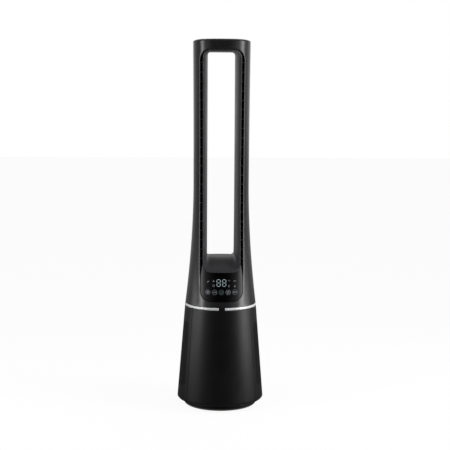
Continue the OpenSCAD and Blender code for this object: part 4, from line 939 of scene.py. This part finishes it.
def panel():
    """The glossy panel: columns of points between its lower edge and the scoop's edge."""
    half, lo, r = OPEN_A - PANEL_GAP, PANEL_Z + PANEL_GAP, PANEL_CORNER - PANEL_GAP
    seat = LINER_WALL + PANEL_SEAT
    in_a, in_r, scoop_lo = FRONT_A + seat, FRONT_CORNER + seat, SCOOP_Z - seat

    def bottom(x):
        d = abs(x) - (half - r)
        return lo if d <= 0 else lo + r - math.sqrt(max(0.0, r * r - d * d))

    def top(x):
        d = abs(x) - (in_a - in_r)
        if d <= 0:
            return scoop_lo
        if d >= in_r:
            return SLOT_BOTTOM - HORN_DROP * (d - in_r) / (half - in_a)
        return scoop_lo + in_r - math.sqrt(in_r * in_r - d * d)

    columns, rows = 110, 40
    xs = [-half * math.cos(PI * i / columns) for i in range(columns + 1)]
    xs = sorted(set(round(x, 4) for x in xs + [-in_a, in_a]))
    verts = []
    for x in xs:
        for k in range(rows + 1):
            z = mix(bottom(x), top(x), k / rows)
            verts.append((x, -face_y(x, z), z))
    faces = grid_faces(len(xs), rows + 1)
    ob = make("touch_panel", verts, faces, "head", PANEL, sharp=40, out=lambda p: Vector((0, -1, 0)))
    thicken(ob, PANEL_T, 0.5, 3)
    place(ob, "panel_gloss", "control_panel")


panel()


class Legend:
    """Flat marks on the curved panel, drawn as strips so that they follow its face."""

    def __init__(self):
        self.verts, self.faces = [], []

    def strip(self, path, width, closed=False, taper=None):
        dense = []
        n = len(path)
        for i in range(n if closed else n - 1):
            a, b = Vector(path[i]), Vector(path[(i + 1) % n])
            count = max(1, int((b - a).length / MARK_STEP))
            dense += [a.lerp(b, k / count) for k in range(count)]
        if not closed:
            dense.append(Vector(path[-1]))
        m = len(dense)
        start = len(self.verts)
        for i, p in enumerate(dense):
            if closed:
                d = dense[(i + 1) % m] - dense[i - 1]
            else:
                d = dense[min(i + 1, m - 1)] - dense[max(i - 1, 0)]
            d.normalize()
            side = Vector((-d.y, d.x))
            w = width / 2
            if taper:
                run = (p - dense[0]).length
                w *= clamp(min(run, (dense[-1] - p).length) / taper) if taper > 0 else 1
                w = max(w, 0.05)
            for s in (-1, 1):
                q = p + side * w * s
                self.verts.append((q.x, -face_y(q.x, q.y) - MARK_PROUD, q.y))
        count = m if closed else m - 1
        for i in range(count):
            a, b = start + 2 * i, start + 2 * ((i + 1) % m)
            self.faces.append((a, a + 1, b + 1, b))

    def arc(self, cx, cz, r, a0=0, a1=360, width=0.5):
        count = max(6, int(abs(a1 - a0) / 10))
        full = abs(a1 - a0) >= 360
        turns = [math.radians(mix(a0, a1, k / count)) for k in range(count if full else count + 1)]
        self.strip([(cx + r * math.cos(a), cz + r * math.sin(a)) for a in turns], width, closed=full)

    def disc(self, cx, cz, r):
        self.arc(cx, cz, r / 2, width=r)

    def make(self, name, mat):
        ob = make(name, self.verts, self.faces, "head", mat, out=lambda p: Vector((0, -1, 0)))
        s = ob.modifiers.new("wall", "SOLIDIFY")
        s.thickness, s.offset = MARK_T * MM, -1
        return apply(ob)


def digits():
    """Two seven-segment figures, every segment lit."""
    legend = Legend()
    tip, gap = 1.3, 0.8
    w, h = DIGIT_W - SEGMENT_W, (DIGIT_H - SEGMENT_W) / 2
    foot_z = DIGIT_Z + SEGMENT_W / 2
    for s in (-1, 1):
        cx = SHOW_X + s * (DIGIT_W + DIGIT_GAP) / 2
        for k in range(3):
            z = foot_z + k * h
            legend.strip([(cx - w / 2 + gap, z), (cx + w / 2 - gap, z)], SEGMENT_W, taper=tip)
        for x in (cx - w / 2, cx + w / 2):
            for k in range(2):
                z = foot_z + k * h
                legend.strip([(x, z + gap), (x, z + h - gap)], SEGMENT_W, taper=tip)
    place(legend.make("digits_lit", DIGITS), "display_light", "display_digits")


def petals(legend, cx, cz, count, r0, r1, width, turn):
    """Fan blades: short bent strokes round a centre."""
    twist, steps = math.radians(28), 4
    for i in range(count):
        a = math.radians(turn + 360 * i / count)
        pts = []
        for k in range(steps + 1):
            t = k / steps
            r = mix(r0, r1, t)
            pts.append((cx + r * math.cos(a + twist * t), cz + r * math.sin(a + twist * t)))
        legend.strip(pts, width, taper=1.0)


def keys():
    """Five touch rings with plain pictures: speed, swing, power, air mode and timer.

    The numbers are the drawing's own millimetres from the middle of each ring."""
    legend, power_key = Legend(), Legend()
    centre = [SHOW_X + (i - 2) * KEY_PITCH for i in range(5)]
    r = KEY_D / 2 - 0.45
    for i, cx in enumerate(centre):
        (power_key if i == 2 else legend).arc(cx, KEY_Z, r, width=KEY_LINE)
    petals(legend, centre[0], KEY_Z, 5, 0.6, 4.9, 2.3, 90)
    legend.disc(centre[0], KEY_Z, 1.2)
    legend.arc(centre[1], KEY_Z + 3.4, 4.4, 205, 335, width=1.1)
    legend.arc(centre[1], KEY_Z - 3.4, 4.4, 35, 145, width=0.9)
    power_key.arc(centre[2], KEY_Z - 0.4, 3.1, -235, 55, width=0.9)
    power_key.strip([(centre[2], KEY_Z + 0.2), (centre[2], KEY_Z + 3.9)], 0.9)
    petals(legend, centre[3], KEY_Z, 4, 0.9, 5.2, 2.2, 45)
    legend.disc(centre[3], KEY_Z, 0.9)
    legend.strip([(centre[4] - 4.6, KEY_Z), (centre[4] + 4.6, KEY_Z)], 1.3)
    for t in (-1, 1):
        legend.strip([(centre[4] + t * 3.0, KEY_Z + 1.9), (centre[4] + t * 4.9, KEY_Z),
                      (centre[4] + t * 3.0, KEY_Z - 1.9)], 0.8)
        legend.strip([(centre[4] + t * 1.1, KEY_Z + 3.2), (centre[4] + t * 1.1, KEY_Z - 3.2)], 0.6)
    ring = legend.make("keys_lit", KEYS)
    place(ring, "key_light", "key_rings")
    place(power_key.make("power_key_lit", POWER), "key_light")


def signs():
    """Small plain pictures beside the digits: leaves, a fan, a cup, a wedge, a moon, an arch and a drop.

    The numbers are the drawing's own millimetres."""
    legend = Legend()
    x, z = SHOW_X - 34.6, 346.7
    legend.strip([(x - 3.0, z - 2.6), (x - 0.4, z + 0.4), (x + 3.0, z + 2.4)], 2.6, taper=3.0)
    legend.strip([(x - 4.0, z - 3.6), (x - 2.2, z - 1.9)], 0.6)
    x, z = SHOW_X - 20.4, 348.6
    petals(legend, x, z, 3, 0.4, 3.4, 2.0, 90)
    z = 336.6
    legend.strip([(x - 2.4, z + 2.2), (x - 1.8, z - 2.2), (x + 1.8, z - 2.2), (x + 2.4, z + 2.2)], 0.9)
    legend.strip([(x - 2.6, z + 2.6), (x + 2.6, z + 2.6)], 0.9)
    x, z = SHOW_X + 20.2, 350.0
    legend.strip([(x - 2.0, z + 1.4), (x, z - 1.6), (x + 2.0, z + 1.4)], 0.9)
    x, z = SHOW_X + 20.8, 336.0
    legend.arc(x, z, 2.3, 60, 300, width=1.2)
    x, z = SHOW_X + 35.6, 347.7
    legend.arc(x, z - 1.8, 3.9, 20, 160, width=0.9)
    legend.arc(x, z - 1.8, 1.9, 20, 160, width=0.9)
    x, z = SHOW_X + 35.6, 335.5
    legend.strip([(x, z + 3.0), (x, z - 2.2)], 2.4, taper=3.4)
    legend.arc(x, z - 1.2, 1.2, width=1.6)
    place(legend.make("signs_lit", KEYS), "key_light")


digits()
keys()
signs()


# ---------------------------------- stage, light and camera

FLOOR_HALF, FLOOR_GLOW, SEEN_SHARE = 12.0, 1.03, 0.9
FLOOR_SHADE, FLOOR_PALE = (0.09, 0.09, 0.09, 1), (0.95, 0.95, 0.95, 1)


def stage():
    """A pale floor that keeps the fan's shadow. Gloss sees it bright under the foot and far behind."""
    me = bpy.data.meshes.new("studio_floor")
    corners = [(x * FLOOR_HALF, y * FLOOR_HALF, 0) for x, y in ((-1, -1), (1, -1), (1, 1), (-1, 1))]
    me.from_pydata(corners, [], [(0, 1, 2, 3)])
    floor = bpy.data.objects.new("studio_floor", me)
    scene.collection.objects.link(floor)
    mat = bpy.data.materials.new("studio_floor")
    mat.use_nodes = True
    tree = mat.node_tree
    tree.nodes.clear()
    n = Nodes(tree)
    path = n.add("ShaderNodeLightPath")
    seen = n.math("MAXIMUM", path.outputs["Is Camera Ray"], path.outputs["Is Transmission Ray"])
    spot = n.add("ShaderNodeTexCoord").outputs["Object"]
    part = n.add("ShaderNodeSeparateXYZ")
    n.put(part, "Vector", spot)
    reach = n.add("ShaderNodeVectorMath", operation="LENGTH")
    n.put(reach, "i0", spot)
    near = n.span(reach.outputs["Value"], 0.096, 0.108, 1.0, 0.02)
    far = n.math("ADD", near, n.span(part.outputs[1], 1.2, 3.5, 0.02, 0.35))
    gloss = n.math("MULTIPLY", path.outputs["Is Glossy Ray"], far)
    fac = n.math("MULTIPLY_ADD", seen, SEEN_SHARE, gloss, limit=True)
    matte = n.add("ShaderNodeBsdfDiffuse")
    n.put(matte, "Color", n.blend(seen, FLOOR_SHADE, FLOOR_PALE))
    white = n.add("ShaderNodeEmission", Color=(1, 1, 1, 1), Strength=FLOOR_GLOW)
    both = n.add("ShaderNodeMixShader")
    n.put(both, "i0", fac)
    n.put(both, "i1", matte.outputs[0])
    n.put(both, "i2", white.outputs[0])
    out = n.add("ShaderNodeOutputMaterial")
    n.put(out, "Surface", both.outputs[0])
    floor.data.materials.append(mat)


# Brightness that gloss mirrors, by the share of the way from straight in front to straight behind
MIRRORED = [(0.0, 0.0), (0.015, 0.0), (0.03, 0.02), (0.07, 0.15), (0.12, 0.38), (0.18, 0.45), (0.3, 0.2),
            (0.45, 0.12), (0.55, 0.25), (0.7, 0.6), (0.93, 0.85), (0.98, 0.95)]
PLAIN, PLAIN_SIDE = 0.40, 0.32


def world():
    """White to the camera. What the fan's gloss mirrors is dark in front, dim beside, and white behind it."""
    w = bpy.data.worlds.new("studio")
    scene.world = w
    w.use_nodes = True
    tree = w.node_tree
    tree.nodes.clear()
    n = Nodes(tree)
    way = n.add("ShaderNodeSeparateXYZ")
    n.put(way, "Vector", n.add("ShaderNodeTexCoord").outputs["Generated"])
    x, y, z = way.outputs
    back = n.math("MULTIPLY_ADD", y, 0.5, 0.5)
    ramp = n.add("ShaderNodeValToRGB")
    n.put(ramp, "Fac", back)
    bar = ramp.color_ramp
    while len(bar.elements) < len(MIRRORED):
        bar.elements.new(0.5)
    for e, (at, v) in zip(bar.elements, MIRRORED):
        e.position, e.color = at, (v, v, v, 1)
    up = n.math("MAXIMUM", z, 0.0)
    over = n.math("MULTIPLY", n.math("POWER", up, 2.0), 0.1)
    sides = n.math("MULTIPLY", ramp.outputs[0], n.math("MULTIPLY_ADD", x, 0.2, 1.0))
    sides = n.math("MULTIPLY", sides, n.math("POWER", n.math("SUBTRACT", 1.0, up), 1.5))
    mirrored = n.math("MINIMUM", n.math("ADD", sides, over), 1.0)
    plain = n.math("MULTIPLY_ADD", x, PLAIN_SIDE, PLAIN)
    path = n.add("ShaderNodeLightPath")
    gloss = n.math("MAXIMUM", path.outputs["Is Glossy Ray"], path.outputs["Is Transmission Ray"])
    light = n.add("ShaderNodeBackground", Color=(1, 1, 1, 1))
    strength = n.choose(path.outputs["Is Camera Ray"], n.choose(gloss, plain, mirrored), 1.0)
    n.put(light, "Strength", strength)
    out = n.add("ShaderNodeOutputWorld")
    n.put(out, "Surface", light.outputs[0])


BOX_FAR, END_FADE, LOW_FROM, LOW_TO = 1.3, 0.12, 0.15, 0.45


def softbox(name, angle, width, height, middle, core, peak, skirt, low):
    """A tall lamp beside the fan, aimed at its axis: bright in the middle of its width, dim at its ends.

    The core is the bright band's width in metres, and low is the brightness of its lower part."""
    data = bpy.data.lights.new(name, "AREA")
    data.shape, data.size, data.size_y = "RECTANGLE", width, height
    data.energy = peak * PI * width * height
    data.use_nodes = True
    tree = data.node_tree
    n = Nodes(tree)
    emit = next(x for x in tree.nodes if x.type == "EMISSION")
    part = n.add("ShaderNodeSeparateXYZ")
    n.put(part, "Vector", n.add("ShaderNodeNewGeometry").outputs["Parametric"])
    across = n.math("MULTIPLY", n.math("SUBTRACT", part.outputs[0], 0.5), width)
    from_core = n.math("POWER", n.math("DIVIDE", across, core), 2.0)
    band = n.math("POWER", math.e, n.math("MULTIPLY", from_core, -1.0))
    tail = n.math("SUBTRACT", 1.0, n.math("POWER", n.math("DIVIDE", across, width / 2), 2.0))
    shape = n.math("MULTIPLY_ADD", band, 1 - skirt, n.math("MULTIPLY", tail, skirt))
    up = part.outputs[1]
    ends = n.math("MULTIPLY", n.span(up, 0.0, END_FADE), n.span(up, 1.0, 1.0 - END_FADE))
    ends = n.math("MULTIPLY", ends, n.span(up, LOW_FROM, LOW_TO, low, 1.0))
    n.put(emit, "Strength", n.math("MULTIPLY", shape, ends))
    ob = bpy.data.objects.new(name, data)
    scene.collection.objects.link(ob)
    a = math.radians(angle)
    ob.location = (math.sin(a) * BOX_FAR, -math.cos(a) * BOX_FAR, middle)
    aim = Vector((0, 0, middle)) - ob.location
    ob.rotation_euler = aim.to_track_quat("-Z", "Y").to_euler()
    ob.visible_camera = False
    return ob


FOCAL, SENSOR, FAR_CLIP, DISTANCE, HEIGHT, PITCH_DOWN = 90.455, 36.0, 60, 3.021, 0.8384, 6.609
AZIMUTH, ASIDE, ROLL = -2.3, 0.209, 0.34


def camera():
    """Fitted to the photograph: a long lens, a little above the middle, pitched down."""
    data = bpy.data.cameras.new("camera")
    data.lens, data.sensor_width, data.sensor_fit = FOCAL, SENSOR, "HORIZONTAL"
    data.clip_end = FAR_CLIP
    ob = bpy.data.objects.new("camera", data)
    scene.collection.objects.link(ob)
    a = math.radians(AZIMUTH)
    ob.location = (math.sin(a) * DISTANCE, -math.cos(a) * DISTANCE, HEIGHT)
    turn = Matrix.Rotation(math.radians(AZIMUTH - ASIDE), 4, "Z")
    tilt = Matrix.Rotation(math.radians(90 - PITCH_DOWN), 4, "X")
    lean = Matrix.Rotation(math.radians(ROLL), 4, "Z")
    ob.rotation_euler = (turn @ tilt @ lean).to_euler()
    scene.camera = ob


stage()
world()
softbox("softbox_right", 69.5, 2.0, 1.9, 1.07, core=0.23, peak=5.2, skirt=0.03, low=1.1)
softbox("softbox_left", -65, 2.0, 1.9, 1.07, core=0.16, peak=5.0, skirt=0.03, low=1.1)
softbox("softbox_low_right", 79, 1.6, 0.4, 0.14, core=0.4, peak=3.2, skirt=0.15, low=1.0)
softbox("softbox_low_left", -84, 1.6, 0.4, 0.14, core=0.4, peak=2.3, skirt=0.15, low=1.0)
camera()

scene.view_settings.view_transform = "Standard"
